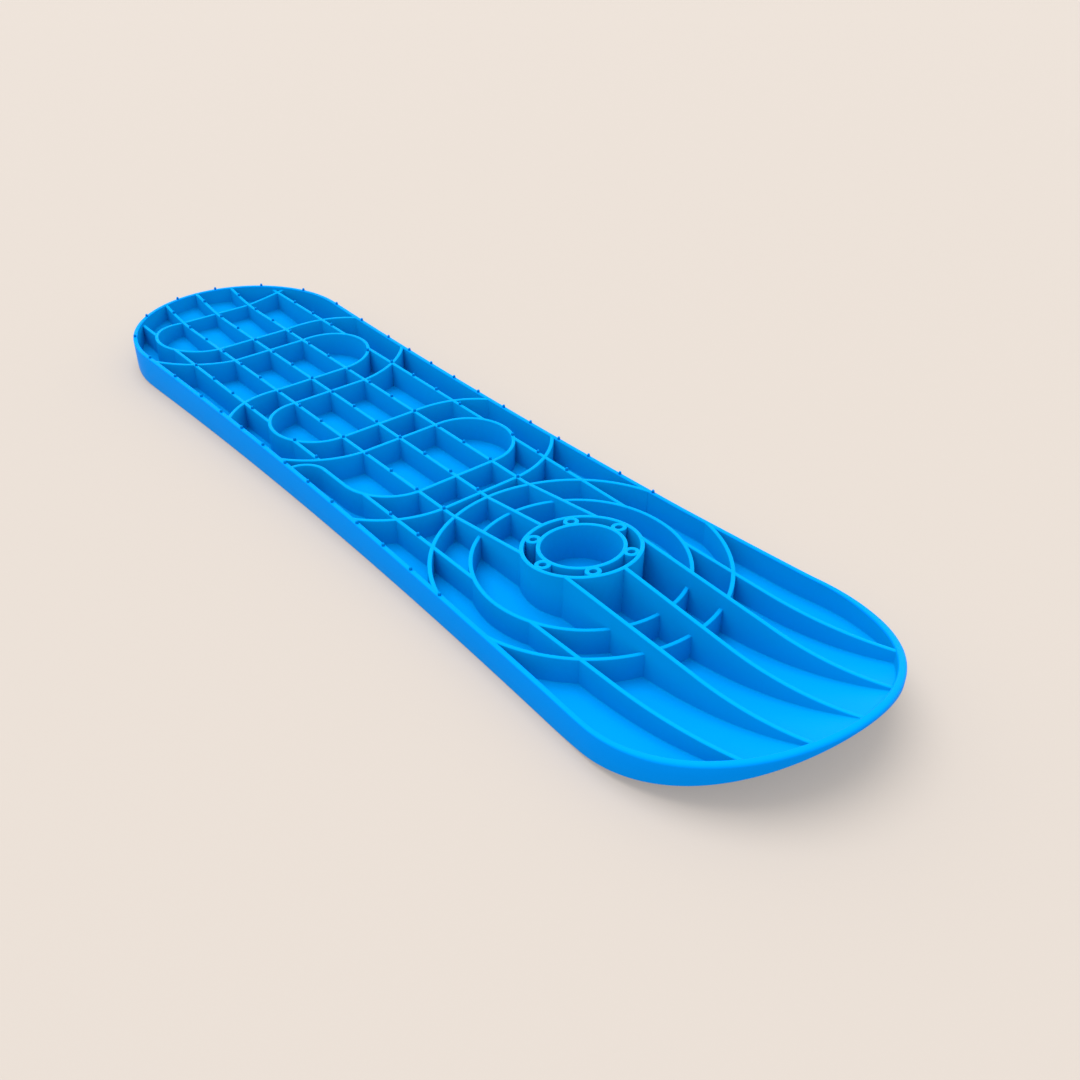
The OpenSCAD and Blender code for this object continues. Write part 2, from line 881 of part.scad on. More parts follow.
sole();
rail(1);  // left_rail
rail(-1);  // right_rail
tail_rim();
nose_rim();
outer_rib(1, tail_end(0, 0), crown_x(3));  // left_rib_tail
outer_rib(1, crown_x(3), crown_x(1));  // left_rib_middle
outer_rib(1, crown_x(1), 0);  // left_rib_hub
outer_rib(1, 0, nose_end(outer_rib_y, 0));  // left_rib_nose
middle_rib(1, -1);  // inner_left_rib_tail
middle_rib(1, 1);  // inner_left_rib_nose
middle_rib(0, -1);  // centre_rib_tail
middle_rib(0, 1);  // centre_rib_nose
middle_rib(-1, -1);  // inner_right_rib_tail
middle_rib(-1, 1);  // inner_right_rib_nose
outer_rib(-1, tail_end(0, 0), crown_x(4));  // right_rib_tail
outer_rib(-1, crown_x(4), crown_x(2));  // right_rib_middle
outer_rib(-1, crown_x(2), crown_x(1));  // right_rib_short
outer_rib(-1, crown_x(1), 0);  // right_rib_hub
outer_rib(-1, 0, nose_end(outer_rib_y, 0));  // right_rib_nose
winding_rib(1);  // winding_rib_1
winding_rib(2);  // winding_rib_2
winding_rib(3);  // winding_rib_3
winding_rib(4);  // winding_rib_4
arched_rib();
ring_rib(inner_ring_radius, -1);  // inner_ring_tail_half
ring_rib(inner_ring_radius, 1);  // inner_ring_nose_half
ring_rib(outer_ring_radius, -1);  // outer_ring_tail_arc
ring_rib(outer_ring_radius, 1);  // outer_ring_nose_arc
hub_outer_wall();
hub_inner_wall();
screw_bosses();
rail_studs(1);  // left_rail_studs
rail_studs(-1);  // right_rail_studs
tail_rim_studs();
outer_rib_studs(1);  // left_rib_studs
middle_rib_studs(1);  // inner_left_rib_studs
middle_rib_studs(0);  // centre_rib_studs
middle_rib_studs(-1);  // inner_right_rib_studs
outer_rib_studs(-1);  // right_rib_studs
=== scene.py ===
"""Dresses the packed snow deck: softly rounded moulded walls, sole, hub and grip studs in blue plastic."""

import json
import logging
import math
from dataclasses import dataclass, field
from enum import Enum
from functools import partial
from typing import Callable, Iterable

import bmesh
import bpy
from mathutils import Matrix, Vector


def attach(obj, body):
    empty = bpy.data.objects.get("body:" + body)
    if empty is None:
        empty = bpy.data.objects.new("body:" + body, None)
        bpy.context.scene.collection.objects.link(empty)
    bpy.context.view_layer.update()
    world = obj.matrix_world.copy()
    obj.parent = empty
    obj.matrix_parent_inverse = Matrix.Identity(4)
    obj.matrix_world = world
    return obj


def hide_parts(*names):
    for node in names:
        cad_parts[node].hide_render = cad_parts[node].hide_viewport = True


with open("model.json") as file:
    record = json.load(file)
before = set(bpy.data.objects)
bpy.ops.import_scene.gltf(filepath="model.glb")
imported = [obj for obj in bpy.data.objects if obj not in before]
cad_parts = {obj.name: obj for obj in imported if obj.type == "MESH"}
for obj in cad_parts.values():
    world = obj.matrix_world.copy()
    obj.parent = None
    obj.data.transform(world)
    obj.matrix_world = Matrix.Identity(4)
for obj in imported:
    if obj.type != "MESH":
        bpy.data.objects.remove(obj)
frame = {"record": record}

MM = 0.001
# Millimetres from the outline in to the place where the ribs' ends stop, inside the rim's wall
RIB_END_INSET = 2.4
# Points that are closer than this many millimetres count as one
SAME_PLACE = 0.02
# Largest share of its radius that a curve runs over
LONGEST_RUN = 0.98
# Vertices of a mesh that are closer than this many metres become one
WELD = 1e-6
# Runs in a quarter turn of a loop or of the hook
LOOP_RUNS = 18
HOOK_RUNS = 12
QUARTER = math.pi / 2
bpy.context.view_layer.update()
log = logging.getLogger("snow_deck")

Point = tuple[float, float]
Section = list[tuple[float, float, float]]
SectionAt = Callable[[float, float, float, float], Section]
HeightAt = Callable[[float, float], float]
Ring = list[bmesh.types.BMVert]
Pieces = dict[str, bpy.types.Object]
Value = float | bpy.types.NodeSocket
Span = tuple[Value, Value]


class Side(Enum):
    """The two long sides of the deck, seen from the tail towards the nose."""

    LEFT = 1
    RIGHT = -1


class End(Enum):
    """The two ends that a rib next to the hub may run to."""

    NOSE = 1
    TAIL = -1


class Region(Enum):
    """Stretches of the deck's outline."""

    NOSE = "nose"
    LEFT = "left"
    TAIL = "tail"
    RIGHT = "right"


def curve_rise(radius: float, distance: float) -> float:
    """Height gained on a curve that starts level.

    Args:
        radius: Radius of the curve.
        distance: Level distance from the start of the curve.

    Returns:
        The height above the start.
    """
    reach = min(max(distance, 0.0), LONGEST_RUN * radius)
    return radius - math.sqrt(radius * radius - reach * reach)


def smooth_share(value: float) -> float:
    """Returns value, held between 0 and 1, eased at both ends."""
    held = min(max(value, 0.0), 1.0)
    return held * held * (3 - 2 * held)


@dataclass(frozen=True)
class DeckForm:
    """The deck's own sizes in millimetres, the same as in the part's source, and its surfaces."""

    nose_reach: float = 242.1
    tail_reach: float = 595.0
    nose_radius: float = 112.0
    tail_radius: float = 102.5
    sidecut_radius: float = 6100.0
    deck_height: float = 23.2
    tail_rim_rise: float = 7.8
    skin: float = 3.2
    rim: float = 3.8
    nose_rim: float = 5.4
    rib: float = 3.2
    nose_bend_length: float = 161.1
    nose_bend_radius: float = 310.0
    nose_pivot_lead: float = 338.0
    nose_rim_bend_length: float = 134.1
    nose_lip: float = 0.8
    tail_bend_length: float = 131.0
    tail_bend_radius: float = 612.0
    tail_top_length: float = 70.0
    tail_top_radius: float = 245.0
    rib_pitch: float = 36.0
    ramp_start_x: float = -104.4
    hub_tilt: float = 6.73
    dip_inset: float = 85.1
    dip_rise: float = 8.3
    dip_radius: float = 234.0
    dip_lead: float = 19.0
    hub_radius: float = 44.0
    inner_ring_radius: float = 78.0
    outer_ring_radius: float = 106.6
    hidden_inset: float = 1.3

    # Runs between points along each stretch of the outline
    NOSE_RUNS = 116
    TAIL_RUNS = 104
    SIDE_RUNS = 150

    @property
    def nose_x(self) -> float:
        """Returns the place of the round nose's centre."""
        return self.nose_reach - self.nose_radius

    @property
    def tail_x(self) -> float:
        """Returns the place of the round tail's centre."""
        return self.tail_radius - self.tail_reach

    @property
    def nose_rim_radius(self) -> float:
        """Radius of the rim's curve, which ends at the tip's lip above the sole's curve.

        Returns:
            The radius.
        """
        tip = self.skin + curve_rise(self.nose_bend_radius, self.nose_bend_length) + self.nose_lip
        rise = tip - self.deck_height
        return (self.nose_rim_bend_length**2 + rise**2) / (2 * rise)

    @property
    def waist(self) -> Point:
        """Centre of the left side's long waist curve.

        Returns:
            The place along the deck and the place across it.
        """
        nose_span = self.sidecut_radius + self.nose_radius
        tail_span = self.sidecut_radius + self.tail_radius
        squares = self.nose_x**2 - self.tail_x**2 - nose_span**2 + tail_span**2
        x = squares / (2 * (self.nose_x - self.tail_x))
        return x, math.sqrt(nose_span**2 - (self.nose_x - x) ** 2)

    @property
    def nose_joint(self) -> float:
        """Returns the turn of the outline where the waist meets the nose, in radians."""
        return math.asin((self.nose_x - self.waist[0]) / (self.sidecut_radius + self.nose_radius))

    @property
    def tail_joint(self) -> float:
        """Returns the turn of the outline where the waist meets the tail, in radians."""
        return math.asin((self.waist[0] - self.tail_x) / (self.sidecut_radius + self.tail_radius))

    @property
    def rim_slope(self) -> float:
        """Returns how steeply the rim climbs from the hub's axis to the tip of the tail."""
        return self.tail_rim_rise / self.tail_reach

    def waist_ends(self, inset: float) -> Point:
        """Returns the places along the deck where the waist's curve meets the nose and the tail."""
        nose = self.nose_x - (self.nose_radius - inset) * math.sin(self.nose_joint)
        return nose, self.tail_x + (self.tail_radius - inset) * math.sin(self.tail_joint)

    def half_width(self, x: float, inset: float) -> float:
        """Half width of the deck at a place along it.

        Args:
            x: Place along the deck.
            inset: How far inside the outline.

        Returns:
            The half width, or 0 beyond the ends.
        """
        waist_x, waist_y = self.waist
        nose_end, tail_end = self.waist_ends(inset)
        if x > nose_end:
            return math.sqrt(max((self.nose_radius - inset) ** 2 - (x - self.nose_x) ** 2, 0.0))
        if x < tail_end:
            return math.sqrt(max((self.tail_radius - inset) ** 2 - (x - self.tail_x) ** 2, 0.0))
        return waist_y - math.sqrt((self.sidecut_radius + inset) ** 2 - (x - waist_x) ** 2)

    def inside(self, x: float, y: float, inset: float) -> bool:
        """Returns whether a place lies inside the outline by more than the inset."""
        return abs(y) < self.half_width(x, inset)

    def bend(self, x: float, y: float) -> float:
        """Returns how far a place lies into the nose's curve, square to where the curve starts."""
        pivot = self.nose_reach + self.nose_pivot_lead
        return pivot - (self.nose_reach - self.nose_bend_length) - math.hypot(pivot - x, y)

    def tail_bend(self, x: float) -> float:
        """Returns how far a place lies into the tail's curve."""
        return self.tail_bend_length - self.tail_reach - x

    def floor(self, x: float, y: float) -> float:
        """Returns the height of the sole's upper face."""
        tail = curve_rise(self.tail_bend_radius, self.tail_bend(x))
        return self.skin + curve_rise(self.nose_bend_radius, self.bend(x, y)) + tail

    def underside(self, x: float, y: float) -> float:
        """Height of the sole's lower face, one skin below the upper face, square to it.

        Args:
            x: Place along the deck.
            y: Place across the deck.

        Returns:
            The height.
        """
        height = 0.0
        bends = ((self.nose_bend_radius, self.bend(x, y)), (self.tail_bend_radius, self.tail_bend(x)))
        for radius, run in bends:
            if run > 0:
                height += self.skin + radius - math.sqrt((radius + self.skin) ** 2 - run * run)
        return height

    def nose_climb(self, x: float) -> float:
        """Returns how far the rim has climbed towards the tip of the nose."""
        return curve_rise(self.nose_rim_radius, x - (self.nose_reach - self.nose_rim_bend_length))

    def rim_top(self, x: float) -> float:
        """Returns the height of the rim's top."""
        return self.deck_height + max(0.0, -x) * self.rim_slope + self.nose_climb(x)

    def dish_share(self, y: float) -> float:
        """Returns the share of the rim's extra height that a wall has at a distance from the middle."""
        waist_x, waist_y = self.waist
        return max(0.0, abs(y) - self.rib_pitch) / (waist_y - self.sidecut_radius - self.rib_pitch)

    def outer_top(self, x: float) -> float:
        """Returns the height of the two outer ribs' tops."""
        rise = max(0.0, -x) * self.rim_slope * self.dish_share(2 * self.rib_pitch)
        return self.deck_height + rise + self.nose_climb(x)

    def hub_top(self, x: float) -> float:
        """Returns the height of the hub's slanting top."""
        return self.deck_height + (x - self.ramp_start_x) * math.tan(math.radians(self.hub_tilt))

    def tail_rib_top(self, x: float) -> float:
        """Returns the height of the middle ribs' tops between the hub and the tail."""
        rise = curve_rise(self.tail_top_radius, self.tail_top_length - self.tail_reach - x)
        return self.hub_top(x) if x > self.ramp_start_x else min(self.deck_height + rise, self.rim_top(x))

    def dished_top(self, x: float, y: float) -> float:
        """Returns the height of a cross rib's top: level in the middle, rising to the rim."""
        return self.deck_height + max(0.0, -x) * self.rim_slope * min(self.dish_share(y), 1.0)

    def held(self, x: float, y: float) -> Point:
        """Returns the place itself, or the nearest one across the deck that the rim's wall still hides."""
        limit = self.half_width(x, self.hidden_inset)
        return x, min(max(y, -limit), limit)

    def nose_rib_top(self, x: float, exit_x: float) -> float:
        """Height of the middle ribs' tops between the hub and the nose.

        Args:
            x: Place along the deck.
            exit_x: Where the rib leaves the hub's outer wall.

        Returns:
            The height of the rib's top.
        """
        dip_x = self.nose_reach - self.dip_inset
        start = dip_x - self.dip_lead

        def dip(place: float) -> float:
            """Returns the height of the round dip."""
            return self.deck_height + self.dip_rise + curve_rise(self.dip_radius, abs(place - dip_x))

        if x >= start:
            return dip(x)
        exit_z = self.hub_top(exit_x)
        return exit_z + (x - exit_x) * (dip(start) - exit_z) / (start - exit_x)

    def outline(self, region: Region, inset: float = 0.0) -> list[Point]:
        """Points along one stretch of the outline, going from the nose round by the left side.

        Args:
            region: Which stretch.
            inset: How far inside the outline.

        Returns:
            The points of the stretch, both ends included.
        """
        nose_turn = QUARTER + self.nose_joint
        tail_turn = QUARTER - self.tail_joint
        if region is Region.NOSE:
            radius = self.nose_radius - inset
            return ring_points((self.nose_x, 0.0), radius, -nose_turn, nose_turn, self.NOSE_RUNS)
        if region is Region.TAIL:
            radius, tail_end = self.tail_radius - inset, 2 * math.pi - tail_turn
            return ring_points((self.tail_x, 0.0), radius, tail_turn, tail_end, self.TAIL_RUNS)
        start, end = self.waist_ends(inset)
        places = [start + (end - start) * k / self.SIDE_RUNS for k in range(self.SIDE_RUNS + 1)]
        side = 1 if region is Region.LEFT else -1
        return [(x, side * self.half_width(x, inset)) for x in places][::side]


def ring_points(centre: Point, radius: float, start: float, end: float, count: int) -> list[Point]:
    """Points on an arc.

    Args:
        centre: Centre of the arc.
        radius: Radius of the arc.
        start: Turn of the first point, in radians.
        end: Turn of the last point, in radians.
        count: Number of runs between points.

    Returns:
        The points, both ends included.
    """
    turns = [start + (end - start) * k / count for k in range(count + 1)]
    return [(centre[0] + radius * math.cos(t), centre[1] + radius * math.sin(t)) for t in turns]


def line_points(a: Point, b: Point, step: float = 4.0) -> list[Point]:
    """Points on a straight line.

    Args:
        a: First point.
        b: Last point.
        step: Longest run between points.

    Returns:
        The points, both ends included.
    """
    count = max(1, math.ceil(math.dist(a, b) / step))
    return [(a[0] + (b[0] - a[0]) * k / count, a[1] + (b[1] - a[1]) * k / count) for k in range(count + 1)]


def joined(*runs: Iterable[Point]) -> list[Point]:
    """Joins runs of points that meet end to end, without repeated points.

    Args:
        *runs: The runs, in order.

    Returns:
        The points of all the runs.
    """
    points: list[Point] = []
    for run in runs:
        for p in run:
            if not points or math.dist(points[-1], p) > SAME_PLACE:
                points.append(p)
    return points


def border(keep: Callable[[float, float], bool], a: Point, b: Point, halvings: int = 12) -> Point:
    """Finds where a kept area ends on a straight line.

    Args:
        keep: Whether a place is kept.
        a: A kept point.
        b: A dropped point.
        halvings: How often the line is halved.

    Returns:
        The last kept point.
    """
    for _ in range(halvings):
        middle = ((a[0] + b[0]) / 2, (a[1] + b[1]) / 2)
        a, b = (middle, b) if keep(*middle) else (a, middle)
    return a


def kept_runs(points: list[Point], keep: Callable[[float, float], bool]) -> list[list[Point]]:
    """Cuts a path where it leaves the kept area.

    Args:
        points: The path.
        keep: Whether a place is kept.

    Returns:
        The stretches that are kept, each cut close to the border.
    """
    runs: list[list[Point]] = []
    run: list[Point] = []
    for before, point in zip([None, *points[:-1]], points):
        if keep(*point):
            if not run and before is not None:
                run.append(border(keep, point, before))
            run.append(point)
        elif run:
            run.append(border(keep, run[-1], point))
            runs.append(run)
            run = []
    if run:
        runs.append(run)
    return [joined(r) for r in runs if len(r) > 2]


@dataclass
class MouldedMesh:
    """Collects the faces of one moulded piece, in millimetres, and turns them into an object."""

    name: str
    bm: bmesh.types.BMesh = field(default_factory=bmesh.new)

    def __post_init__(self) -> None:
        """Adds the layer that says how much a place is worn and how much painted highlight it gets."""
        self.rub = self.bm.verts.layers.float.new("rub")

    def vertex(self, x: float, y: float, z: float, rub: float = 0.0) -> bmesh.types.BMVert:
        """Adds a vertex.

        Args:
            x: Place along the deck.
            y: Place across the deck.
            z: Height.
            rub: How much the place is worn in use and paled as painted highlight, from 0 to 1.

        Returns:
            The new vertex.
        """
        vert = self.bm.verts.new((x * MM, y * MM, z * MM))
        vert[self.rub] = rub
        return vert

    def sweep(
        self,
        path: list[Point],
        section: SectionAt,
        closed: bool = False,
        held: Callable[[float, float], Point] | None = None,
    ) -> None:
        """Sweeps a closed section along a path on the plan.

        Args:
            path: Points of the path.
            section: Gives the section's points as (offset to the left, height, wear and painted
            highlight) from the place, and the unit normal.
            closed: Whether the path's end meets its start.
            held: Moves a place on the plan to where the piece may reach.
        """
        count = len(path)
        rings: list[Ring] = []
        for i, (x, y) in enumerate(path):
            before = path[i - 1] if i or closed else path[i]
            after = path[(i + 1) % count] if i < count - 1 or closed else path[i]
            dx, dy = after[0] - before[0], after[1] - before[1]
            span = math.hypot(dx, dy) or 1.0
            nx, ny = -dy / span, dx / span
            ring = []
            for offset, z, rub in section(x, y, nx, ny):
                place = (x + nx * offset, y + ny * offset)
                ring.append(self.vertex(*(held(*place) if held else place), z, rub))
            rings.append(ring)
        size = len(rings[0])
        for a, b in zip(rings, rings[1:] + (rings[:1] if closed else [])):
            for k in range(size):
                self.bm.faces.new((a[k], a[(k + 1) % size], b[(k + 1) % size], b[k]))
        if not closed:
            self.bm.faces.new(rings[0])
            self.bm.faces.new(rings[-1][::-1])

    def build(self, sharp: float = 38.0) -> bpy.types.Object:
        """Makes the object.

        Args:
            sharp: Turn in degrees above which an edge is drawn sharp.

        Returns:
            The object, linked to the scene.
        """
        bmesh.ops.remove_doubles(self.bm, verts=self.bm.verts, dist=WELD)
        bmesh.ops.recalc_face_normals(self.bm, faces=self.bm.faces)
        mesh = bpy.data.meshes.new(self.name)
        self.bm.to_mesh(mesh)
        self.bm.free()
        mesh.shade_smooth()
        mesh.set_sharp_from_angle(angle=math.radians(sharp))
        piece = bpy.data.objects.new(self.name, mesh)
        bpy.context.scene.collection.objects.link(piece)
        return piece


class SubAssembly:
    """Pieces that are built together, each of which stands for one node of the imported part."""

    # Finishes that the faces with a material index above 0 have
    further_looks: tuple[str, ...] = ()

    def build(self) -> Pieces:
        """Returns the pieces, by the nodes that they stand for."""
        raise NotImplementedError

    def dress(self, slots: dict[str, str], looks: dict[str, bpy.types.Material]) -> None:
        """Builds the pieces, gives each its materials and its body, and hides the imported node that it
        stands for.

        Args:
            slots: The record's material slot of each node.
            looks: The materials, by the name of the slot or of the finish.
        """
        for node, piece in self.build().items():
            slot = slots[node]
            for look in (slot, *self.further_looks):
                piece.data.materials.append(looks[look])
            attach(piece, "root")
            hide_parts(node)
            faces = len(piece.data.polygons)
            log.info("%s stands for %s with %d faces, in %s", piece.name, node, faces, looks[slot].name)


@dataclass(frozen=True)
class WallShape:
    """Cross section of a rib: upright faces with a little draft, a rounded top and a filleted foot."""

    form: DeckForm
    width: float = DeckForm.rib
    draft: float = 0.12
    round_top: float = 0.75
    fillet: float = 0.9
    sink: float = 0.0
    foot_depth: float = 0.8
    least_height: float = 0.1
    largest_round: float = 0.3

    # The foot's curve, as shares of the fillet's width and height
    FOOT_CURVE = ((1.0, 0.0), (0.42, 0.14), (0.1, 0.5), (0.0, 1.0))
    # Degrees of turn round the top's edge, with how much each place is worn and paled as painted highlight
    # on the top
    TOP_CURVE = ((0, 0.15), (30, 0.7), (60, 1.0), (90, 0.8))

    def section(self, top: HeightAt, x: float, y: float, nx: float, ny: float) -> Section:
        """Section of the wall at one place of its path.

        Args:
            top: Gives the height of the wall's top at a place.
            x: Place along the deck.
            y: Place across the deck.
            nx: The unit normal's part along the deck.
            ny: The unit normal's part across the deck.

        Returns:
            The section's points.
        """
        form = self.form
        height = max(top(x, y) - self.sink - form.floor(x, y), self.least_height)
        zt = form.floor(x, y) + height
        fillet = min(self.fillet, self.largest_round * height)
        edge = min(self.round_top, self.largest_round * height)
        half = self.width / 2
        foot = half + self.draft
        lifts = [(foot + fillet, -self.foot_depth)]
        lifts += [(foot + out * fillet, up * fillet) for out, up in self.FOOT_CURVE]
        loop: Section = []
        for side in (-1, 1):
            part = []
            for out, up in lifts:
                o = side * out
                part.append((o, form.floor(x + nx * o, y + ny * o) + up, 0.0))
            # The rounded top is paled: wear on the edge, and painted highlight on the top
            for turn, rub in self.TOP_CURVE:
                t = math.radians(turn)
                part.append((side * (half - edge * (1 - math.cos(t))), zt - edge * (1 - math.sin(t)), rub))
            loop += part[::-side]
        return loop


@dataclass
class Rim(SubAssembly):
    """The wall round the deck in four stretches, each running from its top to the sole's lower edge."""

    form: DeckForm
    bottom_round: float = 1.3
    bottom_strip: float = 4.4
    strip_depth: float = 1.0
    strip_middle: float = 2.8
    side_round: float = 0.95
    nose_round: float = 2.3
    inner_share: float = 0.8
    thickening_turn: float = 32.0

    NODES = {
        Region.NOSE: "nose_rim",
        Region.LEFT: "left_rail",
        Region.TAIL: "tail_rim",
        Region.RIGHT: "right_rail",
    }
    further_looks = ("rib_plastic",)
    # Degrees of turn round each edge, with how much each place is worn; on the top's curves the same value
    # also paints highlight
    BOTTOM_TURNS = (0, 30, 60, 90)
    OUTER_CURVE = ((0, 0.1), (22, 0.6), (45, 1.0), (68, 1.0), (90, 0.85))
    INNER_CURVE = ((90, 0.85), (68, 1.0), (45, 0.9), (22, 0.5), (0, 0.1))
    # The inner foot, as distances from the wall and heights above the floor
    FOOT_CURVE = ((0.0, 1.1), (0.12, 0.55), (0.5, 0.15), (1.1, 0.0), (1.1, -0.9))
    # Edges of the section in all, and those that make the inner face with its foot
    SECTION_EDGES = 23
    INNER_EDGES = range(17, 22)

    def thickness(self, region: Region, x: float, y: float) -> float:
        """Thickness of the wall, which grows towards the tip of the nose.

        Args:
            region: Which stretch of the outline.
            x: Place along the deck.
            y: Place across the deck.

        Returns:
            The thickness.
        """
        if region is not Region.NOSE:
            return self.form.rim
        turn = abs(math.atan2(y, x - self.form.nose_x))
        share = smooth_share((QUARTER + self.form.nose_joint - turn) / math.radians(self.thickening_turn))
        return self.form.rim + (self.form.nose_rim - self.form.rim) * share

    def section(self, region: Region, x: float, y: float, nx: float, ny: float) -> Section:
        """Section of the rim at one place of the outline; offsets to the left of the path point inwards.

        Args:
            region: Which stretch of the outline.
            x: Place along the deck.
            y: Place across the deck.
            nx: The unit normal's part along the deck.
            ny: The unit normal's part across the deck.

        Returns:
            The section's points.
        """
        form = self.form
        wall = self.thickness(region, x, y)
        share = (wall - form.rim) / (form.nose_rim - form.rim)
        edge = self.side_round + (self.nose_round - self.side_round) * share
        zt = form.rim_top(x)
        base = form.underside(x, y)
        low, strip, middle = self.bottom_round, self.bottom_strip, self.strip_middle
        strip_z = form.underside(x + nx * strip, y + ny * strip)
        loop: Section = [
            (strip, strip_z + self.strip_depth, 0.0),
            (strip, strip_z, 0.1),
            (middle, form.underside(x + nx * middle, y + ny * middle), 0.4),
        ]
        for turn in self.BOTTOM_TURNS:
            t = math.radians(turn)
            loop.append((low * (1 - math.sin(t)), base + low * (1 - math.cos(t)), 0.9))
        loop.append((0.0, (base + zt) / 2, 0.0))
        # The rim's top curves are paled: wear on the edges, and painted highlight on the top
        for turn, rub in self.OUTER_CURVE:
            t = math.radians(turn)
            loop.append((edge * (1 - math.cos(t)), zt - edge * (1 - math.sin(t)), rub))
        inner = self.inner_share * edge
        for turn, rub in self.INNER_CURVE:
            t = math.radians(turn)
            loop.append((wall - inner * (1 - math.cos(t)), zt - inner * (1 - math.sin(t)), rub))
        for offset, lift in self.FOOT_CURVE:
            o = wall + offset
            loop.append((o, min(form.floor(x + nx * o, y + ny * o) + lift, zt - inner), 0.0))
        return loop

    def build(self) -> Pieces:
        """Builds the rim. Its inner face has the ribs' finish.

        Returns:
            The four stretches, by the nodes that they stand for.
        """
        pieces = {}
        for region, node in self.NODES.items():
            mesh = MouldedMesh(f"{node}_wall")
            mesh.sweep(self.form.outline(region), partial(self.section, region))
            for place, face in enumerate(mesh.bm.faces):
                face.material_index = int(place % self.SECTION_EDGES in self.INNER_EDGES)
            pieces[node] = mesh.build()
        return pieces


@dataclass
class Sole(SubAssembly):
    """The skin under the whole deck, bent up at both ends."""

    form: DeckForm
    across: int = 26
    upper_inset: float = 2.0
    lower_inset: float = 4.4
    lower_rub: float = 0.25

    further_looks = ("glide_plastic",)

    def ladder(self, mesh: MouldedMesh, inset: float, height: HeightAt, rub: float) -> list[Ring]:
        """Adds one face of the skin as rows of points across the deck.

        Args:
            mesh: The mesh that the face is added to.
            inset: How far inside the outline the face ends.
            height: Gives the face's height at a place.
            rub: How much wear and painted highlight the face gets.

        Returns:
            The rows of vertices, from the nose to the tail.
        """
        form = self.form
        nose = form.outline(Region.NOSE, inset)
        tail = form.outline(Region.TAIL, inset)
        edge = joined(nose[len(nose) // 2 :], form.outline(Region.LEFT, inset), tail[: len(tail) // 2 + 1])
        rows = []
        for x, y in edge:
            spread = [y * (1 - 2 * k / self.across) for k in range(self.across + 1)]
            rows.append([mesh.vertex(x, s, height(x, s), rub) for s in spread])
        for a, b in zip(rows, rows[1:]):
            for k in range(self.across):
                mesh.bm.faces.new((a[k], a[k + 1], b[k + 1], b[k]))
        return rows

    def build(self) -> Pieces:
        """Builds both faces, closed round the edge inside the rim's wall. The lower one has its own finish.

        Returns:
            The skin, by the node that it stands for.
        """
        mesh = MouldedMesh("sole_skin")
        upper = self.ladder(mesh, self.upper_inset, self.form.floor, 0.0)
        upper_count = len(mesh.bm.faces)
        lower = self.ladder(mesh, self.lower_inset, self.form.underside, self.lower_rub)
        mesh.bm.faces.ensure_lookup_table()
        for face in mesh.bm.faces[upper_count:]:
            face.material_index = 1
        for column in (0, self.across):
            for a, b, c, d in zip(upper, upper[1:], lower, lower[1:]):
                mesh.bm.faces.new((a[column], b[column], d[column], c[column]))
        return {"sole": mesh.build()}


def cross_wall(form: DeckForm, node: str, path: list[Point], sink: float = 0.04) -> bpy.types.Object:
    """Builds a rib that crosses the deck, its ends hidden in the rim's wall.

    Args:
        form: The deck's sizes.
        node: The node that the rib stands for.
        path: The rib's middle line, which may pass the outline.
        sink: How far the top lies below the solid's.

    Returns:
        The rib.
    """
    mesh = MouldedMesh(f"{node}_wall")
    section = partial(WallShape(form, sink=sink).section, form.dished_top)
    for run in kept_runs(path, lambda x, y: form.inside(x, y, RIB_END_INSET)):
        mesh.sweep(run, section, held=form.held)
    return mesh.build()


